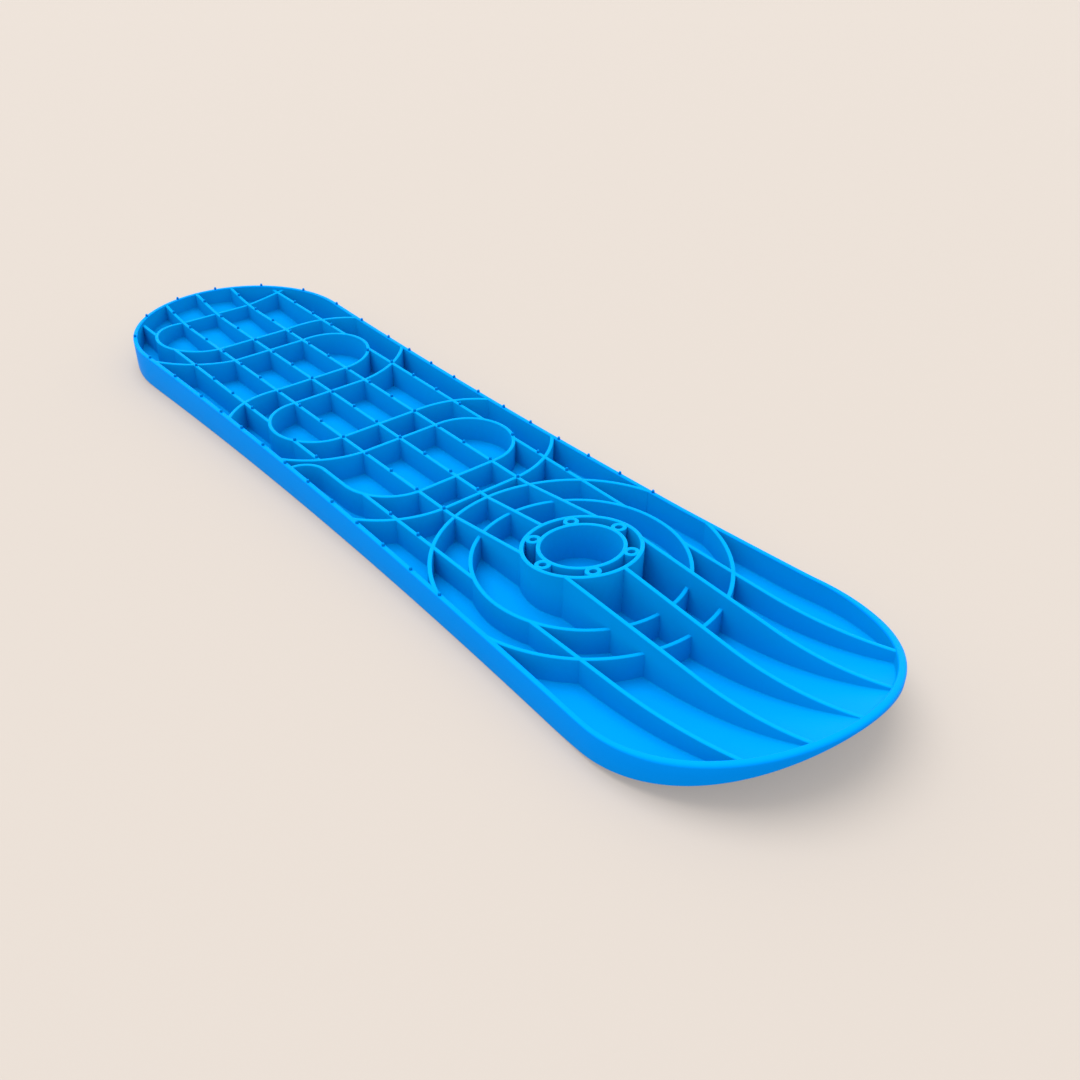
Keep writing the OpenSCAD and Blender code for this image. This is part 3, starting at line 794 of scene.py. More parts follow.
@dataclass
class WindingRibs(SubAssembly):
    """The four winding ribs and the single arched rib next to the hub's rings."""

    form: DeckForm
    arch_gap: float = 8.2
    last_leg_inset: float = 44.2
    band_width: float = 31.5
    loop_tail_radius: float = 41.0
    loop_reach: float = 77.5
    flare_radius: float = 80.0
    last_flare_radius: float = 340.0
    hook_reach: float = 76.6
    hook_radius: float = 17.5
    hook_offset: float = 11.0
    flare_turn: float = 62.0
    flare_runs: int = 60
    count: int = 4

    @property
    def arch_x(self) -> float:
        """Returns the place of the arched rib."""
        return -(self.form.outer_ring_radius + self.arch_gap)

    @property
    def pitch(self) -> float:
        """Returns the distance from one winding rib to the next."""
        return (self.form.tail_reach - self.last_leg_inset + self.arch_x) / self.count

    @property
    def nose_turn_radius(self) -> float:
        """Returns the radius of a loop's corner on the nose's side."""
        return self.pitch - self.band_width - self.loop_tail_radius

    def side(self, index: int) -> int:
        """Returns the side that a winding rib's closed end lies on."""
        return 1 if index % 2 else -1

    def nose_leg(self, index: int) -> float:
        """Returns the place of a winding rib's leg on the nose's side."""
        return self.arch_x - self.band_width - (index - 1) * self.pitch

    def tail_leg(self, index: int) -> float:
        """Returns the place of a winding rib's leg on the tail's side."""
        return self.nose_leg(index) - self.pitch + self.band_width

    def crown(self, index: int) -> float:
        """Returns the place of a winding rib's crown."""
        return self.tail_leg(index) + self.loop_tail_radius

    def flare_start(self, x: float, radius: float) -> float:
        """Returns the distance from the middle line at which a flare leaves its leg."""
        reach = radius * math.sin(math.radians(self.flare_turn))
        return max(self.form.rib_pitch, self.form.half_width(x, 0.0) - reach)

    def flare(self, x: float, side: int, radius: float, along: int) -> list[Point]:
        """Path of a flare, from its leg out past the rim.

        Args:
            x: Place of the leg.
            side: Side of the deck.
            radius: Radius of the flare.
            along: 1 where the flare bends to the nose, -1 to the tail.

        Returns:
            The points of the flare.
        """
        start = side * self.flare_start(x, radius)
        turns = [math.radians(90 * k / self.flare_runs) for k in range(self.flare_runs + 1)]
        bends = [(along * radius * (1 - math.cos(t)), side * radius * math.sin(t)) for t in turns]
        return [(x + lean, start + out) for lean, out in bends]

    def hook(self) -> list[Point]:
        """Path of the first rib's hooked leg.

        Returns:
            The points, from the end of the leg's straight run to the rim.
        """
        corner = self.loop_tail_radius
        turn_x, turn_y = self.nose_leg(1) - corner, corner - self.hook_reach
        foot_x, foot_y = self.tail_leg(1) - self.hook_offset, -self.hook_reach - self.hook_radius
        bend = (foot_x + self.hook_radius, foot_y)
        return joined(
            ring_points((turn_x, turn_y), corner, 0.0, -QUARTER, LOOP_RUNS),
            [(bend[0], -self.hook_reach)],
            ring_points(bend, self.hook_radius, QUARTER, 2 * QUARTER, HOOK_RUNS),
            line_points((foot_x, foot_y), (foot_x, -self.form.nose_radius)),
        )

    def path(self, index: int) -> list[Point]:
        """Path of a winding rib.

        Args:
            index: Number of the rib, counted from the hub.

        Returns:
            The points, from the tail leg's foot round to the nose leg's foot.
        """
        side = self.side(index)
        tail_x, nose_x, crown = self.tail_leg(index), self.nose_leg(index), self.crown(index)
        tail_r, nose_r = self.loop_tail_radius, self.nose_turn_radius
        flare_r = self.last_flare_radius if index == self.count else self.flare_radius
        tail_turn, nose_turn = side * (self.loop_reach - tail_r), side * (self.loop_reach - nose_r)
        turned = 2 * QUARTER - side * QUARTER
        first = self.flare(tail_x, -side, flare_r, -1)[::-1]
        tail_arc = ring_points((crown, tail_turn), tail_r, 2 * QUARTER, turned, LOOP_RUNS)
        nose_arc = ring_points((crown, nose_turn), nose_r, side * QUARTER, 0.0, LOOP_RUNS)
        last = self.hook() if index == 1 else self.flare(nose_x, -side, self.flare_radius, 1)
        return joined(
            first,
            line_points(first[-1], (tail_x, tail_turn)),
            tail_arc,
            nose_arc,
            line_points((nose_x, nose_turn), last[0]),
            last,
        )

    def arch_path(self) -> list[Point]:
        """Returns the path of the arched rib."""
        right, left = (self.flare(self.arch_x, side, self.flare_radius, -1) for side in (-1, 1))
        return joined(right[::-1], line_points(right[0], left[0]), left)

    def in_closed_end(self, index: int, x: float, y: float) -> bool:
        """Whether a place lies inside a winding rib's closed end.

        Args:
            index: Number of the rib.
            x: Place along the deck.
            y: Place across the deck.

        Returns:
            Whether it does.
        """
        side = self.side(index)
        for direction, radius in ((1, self.nose_turn_radius), (-1, self.loop_tail_radius)):
            dx = (x - self.crown(index)) * direction
            dy = y * side - (self.loop_reach - radius)
            if dx >= 0 and dy >= 0 and math.hypot(dx, dy) < radius:
                return True
        return False

    def in_hook(self, x: float) -> bool:
        """Whether a place on the right outer rib's line lies between the hooked rib's two legs.

        Args:
            x: Place along the deck.

        Returns:
            Whether it does.
        """
        y = -2 * self.form.rib_pitch
        corner = self.loop_tail_radius
        if math.hypot(x - self.nose_leg(1) + corner, y + self.hook_reach - corner) < corner:
            return x < self.nose_leg(1)
        start = self.flare_start(self.tail_leg(1), self.flare_radius)
        reach = math.hypot(x - self.tail_leg(1) + self.flare_radius, y + start)
        return self.tail_leg(1) - corner < x < self.nose_leg(1) - corner and reach > self.flare_radius

    def build(self) -> Pieces:
        """Builds the five ribs.

        Returns:
            The ribs, by the nodes that they stand for.
        """
        paths = {f"winding_rib_{index}": self.path(index) for index in range(1, self.count + 1)}
        paths["arched_rib"] = self.arch_path()
        return {node: cross_wall(self.form, node, path) for node, path in paths.items()}


@dataclass
class LongRibs(SubAssembly):
    """The five rows of ribs along the deck, each cut where the hub, a loop or a ring takes its place."""

    form: DeckForm
    winding: WindingRibs
    hub_overlap: float = 1.4
    step: float = 3.0
    middle_sink: float = 0.02
    outer_sink: float = 0.07

    ROWS = {1: "inner_left_rib", 0: "centre_rib", -1: "inner_right_rib"}

    def outer_stands(self, side: Side, x: float, y: float) -> bool:
        """Whether an outer rib stands at a place on its line.

        Args:
            side: Side of the deck.
            x: Place along the deck.
            y: Place across the deck.

        Returns:
            Whether it does.
        """
        winding = self.winding
        if not self.form.inside(x, y, RIB_END_INSET) or math.hypot(x, y) < self.form.inner_ring_radius:
            return False
        loops = [i for i in range(1, winding.count + 1) if winding.side(i) == side.value]
        if any(winding.in_closed_end(i, x, y) for i in loops):
            return False
        return side is Side.LEFT or not winding.in_hook(x)

    def middle_run(self, row: int, end: End) -> list[Point]:
        """Path of a middle rib, from inside the hub's outer wall to the rim.

        Args:
            row: Row of the rib, -1, 0 or 1.
            end: The end that the rib runs to.

        Returns:
            The path.
        """
        y = row * self.form.rib_pitch
        near = end.value * math.sqrt((self.form.hub_radius - self.hub_overlap) ** 2 - y * y)
        reach = self.form.nose_reach if end is End.NOSE else -self.form.tail_reach
        points = line_points((near, y), (reach, y), self.step)
        return kept_runs(points, lambda x, v: self.form.inside(x, v, RIB_END_INSET))[0]

    def outer(self, node: str, side: Side, start: float, end: float) -> bpy.types.Object:
        """Builds one stretch of an outer rib.

        Args:
            node: The node that it stands for.
            side: Side of the deck.
            start: Place of the end towards the tail.
            end: Place of the end towards the nose.

        Returns:
            The stretch.
        """
        form = self.form
        y = side.value * 2 * form.rib_pitch
        mesh = MouldedMesh(f"{node}_wall")
        shape = WallShape(form, sink=self.outer_sink)
        line = line_points((start, y), (end, y), self.step)
        for run in kept_runs(line, partial(self.outer_stands, side)):
            mesh.sweep(run, partial(shape.section, lambda x, _y: form.outer_top(x)), held=form.held)
        return mesh.build()

    def middle(self, node: str, row: int, end: End) -> bpy.types.Object:
        """Builds a middle rib on one side of the hub.

        Args:
            node: The node that it stands for.
            row: Row of the rib, -1, 0 or 1.
            end: The end that the rib runs to.

        Returns:
            The rib.
        """
        form = self.form
        exit_x = math.sqrt(form.hub_radius**2 - (row * form.rib_pitch) ** 2)
        tops = {
            End.TAIL: lambda x, _y: form.tail_rib_top(x),
            End.NOSE: lambda x, _y: form.nose_rib_top(x, exit_x),
        }
        mesh = MouldedMesh(f"{node}_wall")
        shape = WallShape(form, sink=self.middle_sink)
        mesh.sweep(self.middle_run(row, end), partial(shape.section, tops[end]), held=form.held)
        return mesh.build()

    def build(self) -> Pieces:
        """Builds the five rows.

        Returns:
            The ribs, by the nodes that they stand for.
        """
        tail, nose, crown = -self.form.tail_reach, self.form.nose_reach, self.winding.crown
        stretches = {
            "left_rib_tail": (Side.LEFT, tail, crown(3)),
            "left_rib_middle": (Side.LEFT, crown(3), crown(1)),
            "left_rib_hub": (Side.LEFT, crown(1), 0.0),
            "left_rib_nose": (Side.LEFT, 0.0, nose),
            "right_rib_tail": (Side.RIGHT, tail, crown(4)),
            "right_rib_middle": (Side.RIGHT, crown(4), crown(2)),
            "right_rib_short": (Side.RIGHT, crown(2), crown(1)),
            "right_rib_hub": (Side.RIGHT, crown(1), 0.0),
            "right_rib_nose": (Side.RIGHT, 0.0, nose),
        }
        pieces = {node: self.outer(node, *stretch) for node, stretch in stretches.items()}
        for row, name in self.ROWS.items():
            for end in End:
                node = f"{name}_{end.name.lower()}"
                pieces[node] = self.middle(node, row, end)
        return pieces


@dataclass
class HubGroup(SubAssembly):
    """The screw hub: two round walls with a slanting top, six screw bosses, and the two ring ribs."""

    form: DeckForm
    recess_radius: float = 29.0
    wall: float = 3.2
    screw_circle: float = 36.0
    boss_diameter: float = 11.8
    hole_diameter: float = 5.5
    screws: int = 6
    wall_round: float = 0.6
    wall_fillet: float = 0.7
    boss_round: float = 0.45
    boss_sink: float = 0.03
    wall_runs: int = 144
    boss_runs: int = 40
    rib_runs: int = 120

    def round_tube(
        self,
        mesh: MouldedMesh,
        shape: WallShape,
        centre: Point,
        radius: float,
        runs: int,
    ) -> None:
        """Sweeps a wall of the hub round a full circle.

        Args:
            mesh: The mesh that the wall is added to.
            shape: The wall's section.
            centre: Centre of the circle.
            radius: Radius of the wall's middle line.
            runs: Number of runs round the circle.
        """
        path = ring_points(centre, radius, 0.0, 2 * math.pi, runs)[:-1]
        mesh.sweep(path, partial(shape.section, lambda x, _y: self.form.hub_top(x)), True)

    def ring_wall(self, node: str, radius: float) -> bpy.types.Object:
        """Builds one of the hub's round walls.

        Args:
            node: The node that it stands for.
            radius: Radius of its middle line.

        Returns:
            The wall.
        """
        mesh = MouldedMesh(f"{node}_wall")
        shape = WallShape(self.form, self.wall, 0.0, self.wall_round, self.wall_fillet)
        self.round_tube(mesh, shape, (0.0, 0.0), radius, self.wall_runs)
        return mesh.build()

    def bosses(self) -> bpy.types.Object:
        """Builds the screw bosses, each a tube with a softly rounded mouth.

        Returns:
            The bosses as one object.
        """
        mesh = MouldedMesh("screw_bosses_tubes")
        bore, outer = self.hole_diameter / 2, self.boss_diameter / 2
        shape = WallShape(self.form, outer - bore, 0.0, self.boss_round, 0.0, self.boss_sink)
        for k in range(self.screws):
            turn = math.radians((k + 0.5) * 360 / self.screws)
            centre = (self.screw_circle * math.cos(turn), self.screw_circle * math.sin(turn))
            self.round_tube(mesh, shape, centre, (bore + outer) / 2, self.boss_runs)
        return mesh.build()

    def build(self) -> Pieces:
        """Builds the hub, and the ring ribs round it as halves or arcs towards the tail and the nose.

        Returns:
            The pieces, by the nodes that they stand for.
        """
        form = self.form
        pieces = {
            "hub_outer_wall": self.ring_wall("hub_outer_wall", form.hub_radius - self.wall / 2),
            "hub_inner_wall": self.ring_wall("hub_inner_wall", self.recess_radius + self.wall / 2),
            "screw_bosses": self.bosses(),
        }
        for name, radius, stretch in (
            ("inner_ring", form.inner_ring_radius, "half"),
            ("outer_ring", form.outer_ring_radius, "arc"),
        ):
            for end in (End.TAIL, End.NOSE):
                node = f"{name}_{end.name.lower()}_{stretch}"
                start = -end.value * QUARTER
                path = ring_points((0.0, 0.0), radius, start, start + math.pi, self.rib_runs)
                pieces[node] = cross_wall(form, node, path)
        return pieces


@dataclass
class GripStuds(SubAssembly):
    """Small pointed studs along the tops of the rails and of the ribs towards the tail."""

    form: DeckForm
    winding: WindingRibs
    diameter: float = 2.6
    height: float = 2.4
    rib_inset: float = 25.5
    rail_inset: float = 210.3
    end_pitch: float = 48.7
    rail_x: float = -29.7
    middle_x: float = -113.8
    centre_x: float = -118.6
    outer_x: float = -96.4
    rib_steps: int = 13
    rail_steps: int = 10
    tail_steps: int = 3
    tail_start: float = 12.0
    tail_turn: float = 27.0
    sides: int = 18
    depth: float = 0.35
    foot_height: float = 0.12
    row_width: float = 9.0
    sharp_turn: float = 50.0

    # Shares of a stud's foot radius and height, from above its foot to its tip
    TAPER = ((0.9, 0.5), (0.76, 0.86), (0.6, 0.97), (0.3, 1.0))
    # Share of the height above which a stud's tip is worn and paled as painted highlight
    WEAR_AND_HIGHLIGHT_ABOVE = 0.8

    @property
    def rib_pitch(self) -> float:
        """Returns the distance between studs along the ribs."""
        return (self.form.tail_reach - self.rib_inset + self.middle_x) / self.rib_steps

    def stud(self, mesh: MouldedMesh, x: float, y: float, z: float, slope: float) -> None:
        """Adds one stud that stands square on a sloping top.

        Args:
            mesh: The mesh that the stud is added to.
            x: Place along the deck.
            y: Place across the deck.
            z: Height of the top under the stud.
            slope: Climb of the top towards the nose.
        """
        r, h = self.diameter / 2, self.height
        profile = [(r, -self.depth), (r, self.foot_height)] + [(a * r, b * h) for a, b in self.TAPER]
        turn = Matrix.Rotation(-math.atan(slope), 3, "Y")
        rings = []
        for radius, lift in profile:
            ring = []
            for k in range(self.sides):
                t = 2 * math.pi * k / self.sides
                p = turn @ Vector((radius * math.cos(t), radius * math.sin(t), lift))
                ring.append(mesh.vertex(x + p.x, y + p.y, z + p.z, 1.0 if lift > self.WEAR_AND_HIGHLIGHT_ABOVE * h else 0.0))
            rings.append(ring)
        for a, b in zip(rings, rings[1:]):
            for k in range(self.sides):
                after = (k + 1) % self.sides
                mesh.bm.faces.new((a[k], a[after], b[after], b[k]))
        mesh.bm.faces.new(rings[-1])
        mesh.bm.faces.new(rings[0][::-1])

    def rail(self, side: Side) -> bpy.types.Object:
        """Builds the studs of one rail.

        Args:
            side: Side of the deck.

        Returns:
            The studs as one object.
        """
        form = self.form
        mesh = MouldedMesh(f"{side.name.lower()}_rail_stud_pins")
        pitch = (form.tail_reach - self.rail_inset + self.rail_x) / self.rail_steps
        places = [self.rail_x - k * pitch for k in range(self.rail_steps + 1)]
        places += [self.rail_inset - form.tail_reach - k * self.end_pitch for k in (1, 2)]
        for x in places:
            y = side.value * form.half_width(x, form.rim / 2)
            self.stud(mesh, x, y, form.rim_top(x), -form.rim_slope)
        return mesh.build(self.sharp_turn)

    def tail_rim(self) -> bpy.types.Object:
        """Builds the studs round the tail.

        Returns:
            The studs as one object.
        """
        form = self.form
        mesh = MouldedMesh("tail_rim_stud_pins")
        radius = form.tail_radius - form.rim / 2
        for k in range(self.tail_steps):
            for side in (1, -1):
                turn = math.radians(self.tail_start + k * self.tail_turn)
                x = form.tail_x - radius * math.cos(turn)
                y = side * radius * math.sin(turn)
                self.stud(mesh, x, y, form.rim_top(x), -form.rim_slope)
        return mesh.build(self.sharp_turn)

    def outer(self, side: Side) -> bpy.types.Object:
        """Builds the studs of an outer rib; inside a loop only those on the loop's closed end stand.

        Args:
            side: Side of the deck.

        Returns:
            The studs as one object.
        """
        form, winding = self.form, self.winding
        mesh = MouldedMesh(f"{side.name.lower()}_rib_stud_pins")
        row = 2 * form.rib_pitch
        slope = -form.rim_slope * form.dish_share(row)
        radius = winding.nose_turn_radius
        numbers = range(1, winding.count + 1)
        near = [i for i in numbers if winding.side(i) == side.value]
        # The first rib has its hook on the other side, so it leaves a gap on both
        gaps = [i for i in numbers if i in near or i == 1]
        for k in range(self.rib_steps):
            x = self.outer_x - k * self.rib_pitch
            if not any(winding.tail_leg(i) < x < winding.nose_leg(i) for i in gaps):
                self.stud(mesh, x, side.value * row, form.outer_top(x), slope)
            for i in near:
                if winding.crown(i) < x < winding.nose_leg(i):
                    rise = math.sqrt(max(0.0, radius**2 - (x - winding.crown(i)) ** 2))
                    y = winding.loop_reach - radius + rise
                    if abs(y - row) < self.row_width / 2:
                        self.stud(mesh, x, side.value * y, form.outer_top(x), slope)
        return mesh.build(self.sharp_turn)

    def middle(self, row: int, name: str) -> bpy.types.Object:
        """Builds the studs of a middle rib.

        Args:
            row: Row of the rib, -1, 0 or 1.
            name: Name of the rib.

        Returns:
            The studs as one object.
        """
        form = self.form
        mesh = MouldedMesh(f"{name}_stud_pins")
        first = self.middle_x if row else self.centre_x
        for k in range(self.rib_steps + 1):
            x = first - k * self.rib_pitch
            slope = (form.tail_rib_top(x + 1) - form.tail_rib_top(x - 1)) / 2
            self.stud(mesh, x, row * form.rib_pitch, form.tail_rib_top(x), slope)
        return mesh.build(self.sharp_turn)

    def build(self) -> Pieces:
        """Builds the groups of studs.

        Returns:
            The groups, by the nodes that they stand for.
        """
        pieces = {
            "left_rail_studs": self.rail(Side.LEFT),
            "right_rail_studs": self.rail(Side.RIGHT),
            "tail_rim_studs": self.tail_rim(),
            "left_rib_studs": self.outer(Side.LEFT),
            "right_rib_studs": self.outer(Side.RIGHT),
        }
        for row, name in LongRibs.ROWS.items():
            pieces[f"{name}_studs"] = self.middle(row, name)
        return pieces


@dataclass
class NodeKit:
    """Adds nodes to a shader node tree and fills their inputs."""

    tree: bpy.types.NodeTree

    def node(
        self,
        kind: str,
        inputs: dict[int | str, object] | None = None,
        **settings: object,
    ) -> bpy.types.Node:
        """Adds a node.

        Args:
            kind: Node type.
            inputs: Sockets or values for the node's inputs, by name or by place.
            **settings: Attributes of the node.

        Returns:
            The new node.
        """
        made = self.tree.nodes.new(kind)
        for name, value in settings.items():
            setattr(made, name, value)
        for place, value in (inputs or {}).items():
            if isinstance(value, bpy.types.NodeSocket):
                self.tree.links.new(value, made.inputs[place])
            else:
                made.inputs[place].default_value = value
        return made

    def math(self, operation: str, *values: Value) -> bpy.types.NodeSocket:
        """Returns the result of a math node that works on the sockets or numbers given."""
        return self.node("ShaderNodeMath", dict(enumerate(values)), operation=operation).outputs[0]

    def vector_math(self, operation: str, place: Value, other: Value) -> bpy.types.NodeSocket:
        """Returns the vector that a vector math node makes of two."""
        return self.node("ShaderNodeVectorMath", {0: place, 1: other}, operation=operation).outputs[0]

    def noise(self, place: bpy.types.NodeSocket, **inputs: Value) -> bpy.types.NodeOutputs:
        """Returns the outputs of a noise node, a value and a colour."""
        return self.node("ShaderNodeTexNoise", {"Vector": place, **inputs}).outputs

    def spread(self, value: bpy.types.NodeSocket, start: Span, end: Span) -> bpy.types.NodeSocket:
        """Returns a value stretched from one span to another."""
        ends = {1: start[0], 2: start[1], 3: end[0], 4: end[1]}
        return self.node("ShaderNodeMapRange", {"Value": value, **ends}).outputs[0]

    def mix(self, share: Value, first: object, second: object) -> bpy.types.NodeSocket:
        """Returns a colour between two, the first where the share is 0."""
        return self.node("ShaderNodeMix", {0: share, 6: first, 7: second}, data_type="RGBA").outputs[2]

    def effect(self, group: bpy.types.NodeTree, **inputs: object) -> bpy.types.NodeOutputs:
        """Returns the outputs of a shared group placed here with its own values."""
        return self.node("ShaderNodeGroup", inputs, node_tree=group).outputs

    def bumped(self, height: bpy.types.NodeSocket, strength: float, depth: float) -> bpy.types.NodeSocket:
        """Returns the normal of a surface raised by a height, depth metres at most."""
        raised = {"Strength": strength, "Height": height, "Distance": depth}
        return self.node("ShaderNodeBump", raised).outputs[0]


class EffectGroup(NodeKit):
    """A shader node group with named inputs and outputs, built once and placed in each material."""

    # Kind of socket for one number, for a vector and for a colour with its alpha
    KINDS = {1: "NodeSocketFloat", 3: "NodeSocketVector", 4: "NodeSocketColor"}

    def __init__(self, name: str, **inputs: float | tuple[float, ...]) -> None:
        """Makes an empty group.

        Args:
            name: Name of the group.
            **inputs: Default value of each input; one number, a vector or a colour with its alpha.
        """
        super().__init__(bpy.data.node_groups.new(name, "ShaderNodeTree"))
        for label, value in inputs.items():
            kind = self.KINDS[len(value) if isinstance(value, tuple) else 1]
            socket = self.tree.interface.new_socket(name=label, in_out="INPUT", socket_type=kind)
            socket.default_value = value
        self.given = self.node("NodeGroupInput").outputs
        self.place = self.node("ShaderNodeTexCoord").outputs["Object"]

    def finished(self, **results: bpy.types.NodeSocket) -> bpy.types.NodeTree:
        """Closes the group.

        Args:
            **results: The socket that each output hands on, by the output's name.

        Returns:
            The group's node tree.
        """
        for label in results:
            kind = "NodeSocketColor" if label == "Color" else "NodeSocketFloat"
            self.tree.interface.new_socket(name=label, in_out="OUTPUT", socket_type=kind)
        self.node("NodeGroupOutput", results)
        return self.tree


def moulded_grain() -> bpy.types.NodeTree:
    """Builds the group for the fine matt grain of a spark-eroded mould.

    Returns:
        The group, which hands on a height and a roughness.
    """
    group = EffectGroup("moulded_grain", Scale=1800.0, Roughness=0.45, Spread=0.08)
    fine = group.noise(group.place, Scale=group.given["Scale"], Detail=2.0)[0]
    broad = group.noise(group.place, Scale=60.0, Detail=3.0)[0]
    height = group.math("MULTIPLY_ADD", broad, 0.35, fine)
    centred = group.math("SUBTRACT", broad, 0.5)
    rough = group.math("MULTIPLY_ADD", centred, group.given["Spread"], group.given["Roughness"])
    return group.finished(Height=height, Roughness=rough)


def flow_tint() -> bpy.types.NodeTree:
    """Builds the group for the slow change of tone that flowing plastic leaves in a large moulding.

    Returns:
        The group, which hands on a colour.
    """
    group = EffectGroup("flow_tint", Color=(0.0, 0.3, 0.9, 1.0), Deep=(0.0, 0.25, 0.8, 1.0), Amount=0.4)
    shape = {"Vector": group.place, "Scale": (4.0, 11.0, 14.0)}
    stretched = group.node("ShaderNodeMapping", shape).outputs[0]
    cloud = group.noise(stretched, Scale=1.6, Detail=3.0, Distortion=0.7)[0]
    amount = group.math("MULTIPLY", group.spread(cloud, (0.3, 0.75), (0.0, 1.0)), group.given["Amount"])
    return group.finished(Color=group.mix(amount, group.given["Color"], group.given["Deep"]))


def edge_rub() -> bpy.types.NodeTree:
    """Builds the group for edges polished and paled by boots and snow, and for painted highlight that pales
    the tops of walls and studs, where the mesh says they are.

    Returns:
        The group, which hands on a colour and a mask.
    """
    group = EffectGroup("edge_rub", Color=(0.0, 0.3, 0.9, 1.0), Pale=(0.05, 0.5, 1.0, 1.0), Amount=0.5)
    rub = group.node("ShaderNodeAttribute", attribute_name="rub").outputs["Fac"]
    patches = group.noise(group.place, Scale=130.0, Detail=4.0, Roughness=0.65)[0]
    # Pales the places that the mesh marks: real wear on edges, painted highlight on tops
    mask = group.math("MULTIPLY", rub, group.spread(patches, (0.32, 0.68), (0.55, 1.0)))
    amount = group.math("MULTIPLY", mask, group.given["Amount"])
    return group.finished(Color=group.mix(amount, group.given["Color"], group.given["Pale"]), Mask=mask)


def fine_scratches() -> bpy.types.NodeTree:
    """Builds the group for fine scratches that run mostly along the deck.

    Returns:
        The group, which hands on a mask.
    """
    group = EffectGroup("fine_scratches", Length=(6.0, 150.0, 150.0), Cover=0.1)
    warped = group.noise(group.place, Scale=5.0, Detail=1.0)[1]
    waves = {0: warped, "Scale": 0.012}
    shifted = group.node("ShaderNodeVectorMath", waves, operation="SCALE").outputs[0]
    bent = group.vector_math("ADD", group.place, shifted)
    drawn = group.vector_math("MULTIPLY", bent, group.given["Length"])
    lines = group.noise(drawn, Scale=9.0, Detail=2.0)[0]
    lowest = group.math("SUBTRACT", 0.78, group.given["Cover"])
    return group.finished(Mask=group.spread(lines, (lowest, 0.8), (0.0, 1.0)))


@dataclass(frozen=True)
class PlasticFinish:
    """Finish of one kind of surface of the moulding, with colours in linear values."""

    name: str
    color: tuple[float, float, float]
    deep: tuple[float, float, float]
    pale: tuple[float, float, float]
    sheen_color: tuple[float, float, float] = (0.0, 0.62, 1.0)
    roughness: float = 0.42
    spread: float = 0.1
    grain: float = 1900.0
    grain_depth: float = 0.05
    flow: float = 0.5
    rub: float = 0.5
    scratches: float = 0.06
    scratch_length: tuple[float, float, float] = (6.0, 150.0, 150.0)
    specular: float = 0.007
    ior: float = 1.5
    bump: float = 0.35
    scratch_paling: float = 0.16
    scratch_depth: float = 0.6
    scratch_roughness: float = 0.12
    rub_polish: float = 0.08

    def material(self, groups: dict[str, bpy.types.NodeTree]) -> bpy.types.Material:
        """Builds the material.

        Args:
            groups: The shared effect groups, by name.

        Returns:
            The material.
        """
        made = bpy.data.materials.new(self.name)
        made.use_nodes = True
        kit = NodeKit(made.node_tree)
        kit.tree.nodes.clear()
        pale = (*self.pale, 1.0)
        clouds = {"Color": (*self.color, 1.0), "Deep": (*self.deep, 1.0), "Amount": self.flow}
        tint = kit.effect(groups["flow_tint"], **clouds)
        # Pales marked edges and tops: wear, with painted highlight on the tops
        rub = kit.effect(groups["edge_rub"], Color=tint["Color"], Pale=pale, Amount=self.rub)
        texture = {"Scale": self.grain, "Roughness": self.roughness, "Spread": self.spread}
        grain = kit.effect(groups["moulded_grain"], **texture)
        scratched = {"Length": self.scratch_length, "Cover": self.scratches}
        lines = kit.effect(groups["fine_scratches"], **scratched)["Mask"]
        color = kit.mix(kit.math("MULTIPLY", lines, self.scratch_paling), rub["Color"], pale)
        polish = kit.math("MULTIPLY_ADD", rub["Mask"], -self.rub_polish, grain["Roughness"])
        rough = kit.math("MULTIPLY_ADD", lines, self.scratch_roughness, polish)
        height = kit.math("MULTIPLY_ADD", lines, -self.scratch_depth, grain["Height"])
        normal = kit.bumped(height, self.bump, self.grain_depth * MM)
        surface = {"Base Color": color, "Roughness": rough, "Normal": normal}
        shader = kit.node("ShaderNodeBsdfPrincipled", surface)
        shader.inputs["IOR"].default_value = self.ior
        shader.inputs["Specular IOR Level"].default_value = self.specular
        shader.inputs["Specular Tint"].default_value = (*self.sheen_color, 1.0)
        kit.node("ShaderNodeOutputMaterial", {"Surface": shader.outputs[0]})
        return made


# Colours that the ribs and the hub share
DECK_BLUE = (0.0, 0.252, 0.61)
DECK_DEEP = (0.0, 0.232, 0.57)
# The pale blue of scratches, wear and painted highlight on tops
DECK_PALE = (0.0, 0.287, 0.69)

FINISHES = {
    "sole_plastic": PlasticFinish(
        "sole_blue_plastic",
        (0.0, 0.25, 0.65),
        (0.0, 0.23, 0.605),
        DECK_PALE,
        roughness=0.4,
        rub=0.3,
        flow=0.7,
    ),
    "rim_plastic": PlasticFinish(
        "rim_blue_plastic",
        (0.0, 0.234, 0.77),
        (0.0, 0.215, 0.725),
        (0.0, 0.262, 0.82),
        roughness=0.4,
        scratches=0.08,
    ),
    "rib_plastic": PlasticFinish("rib_blue_plastic", DECK_BLUE, DECK_DEEP, DECK_PALE),
    "hub_plastic": PlasticFinish(
        "hub_blue_plastic",
        DECK_BLUE,
        DECK_DEEP,
        DECK_PALE,
        roughness=0.4,
        scratches=0.04,
    ),
    "stud_plastic": PlasticFinish(
        "stud_blue_plastic",
        (0.0, 0.15, 0.49),
        (0.0, 0.13, 0.44),
        (0.0, 0.245, 0.7),
        roughness=0.5,
        rub=0.6,
        grain=2600.0,
    ),
    "glide_plastic": PlasticFinish(
        "glide_face_plastic",
        (0.0, 0.235, 0.625),
        (0.0, 0.19, 0.52),
        (0.02, 0.30, 0.68),
        roughness=0.46,
        rub=0.25,
        flow=0.9,
        scratches=0.2,
        scratch_length=(3.0, 90.0, 90.0),
    ),
}


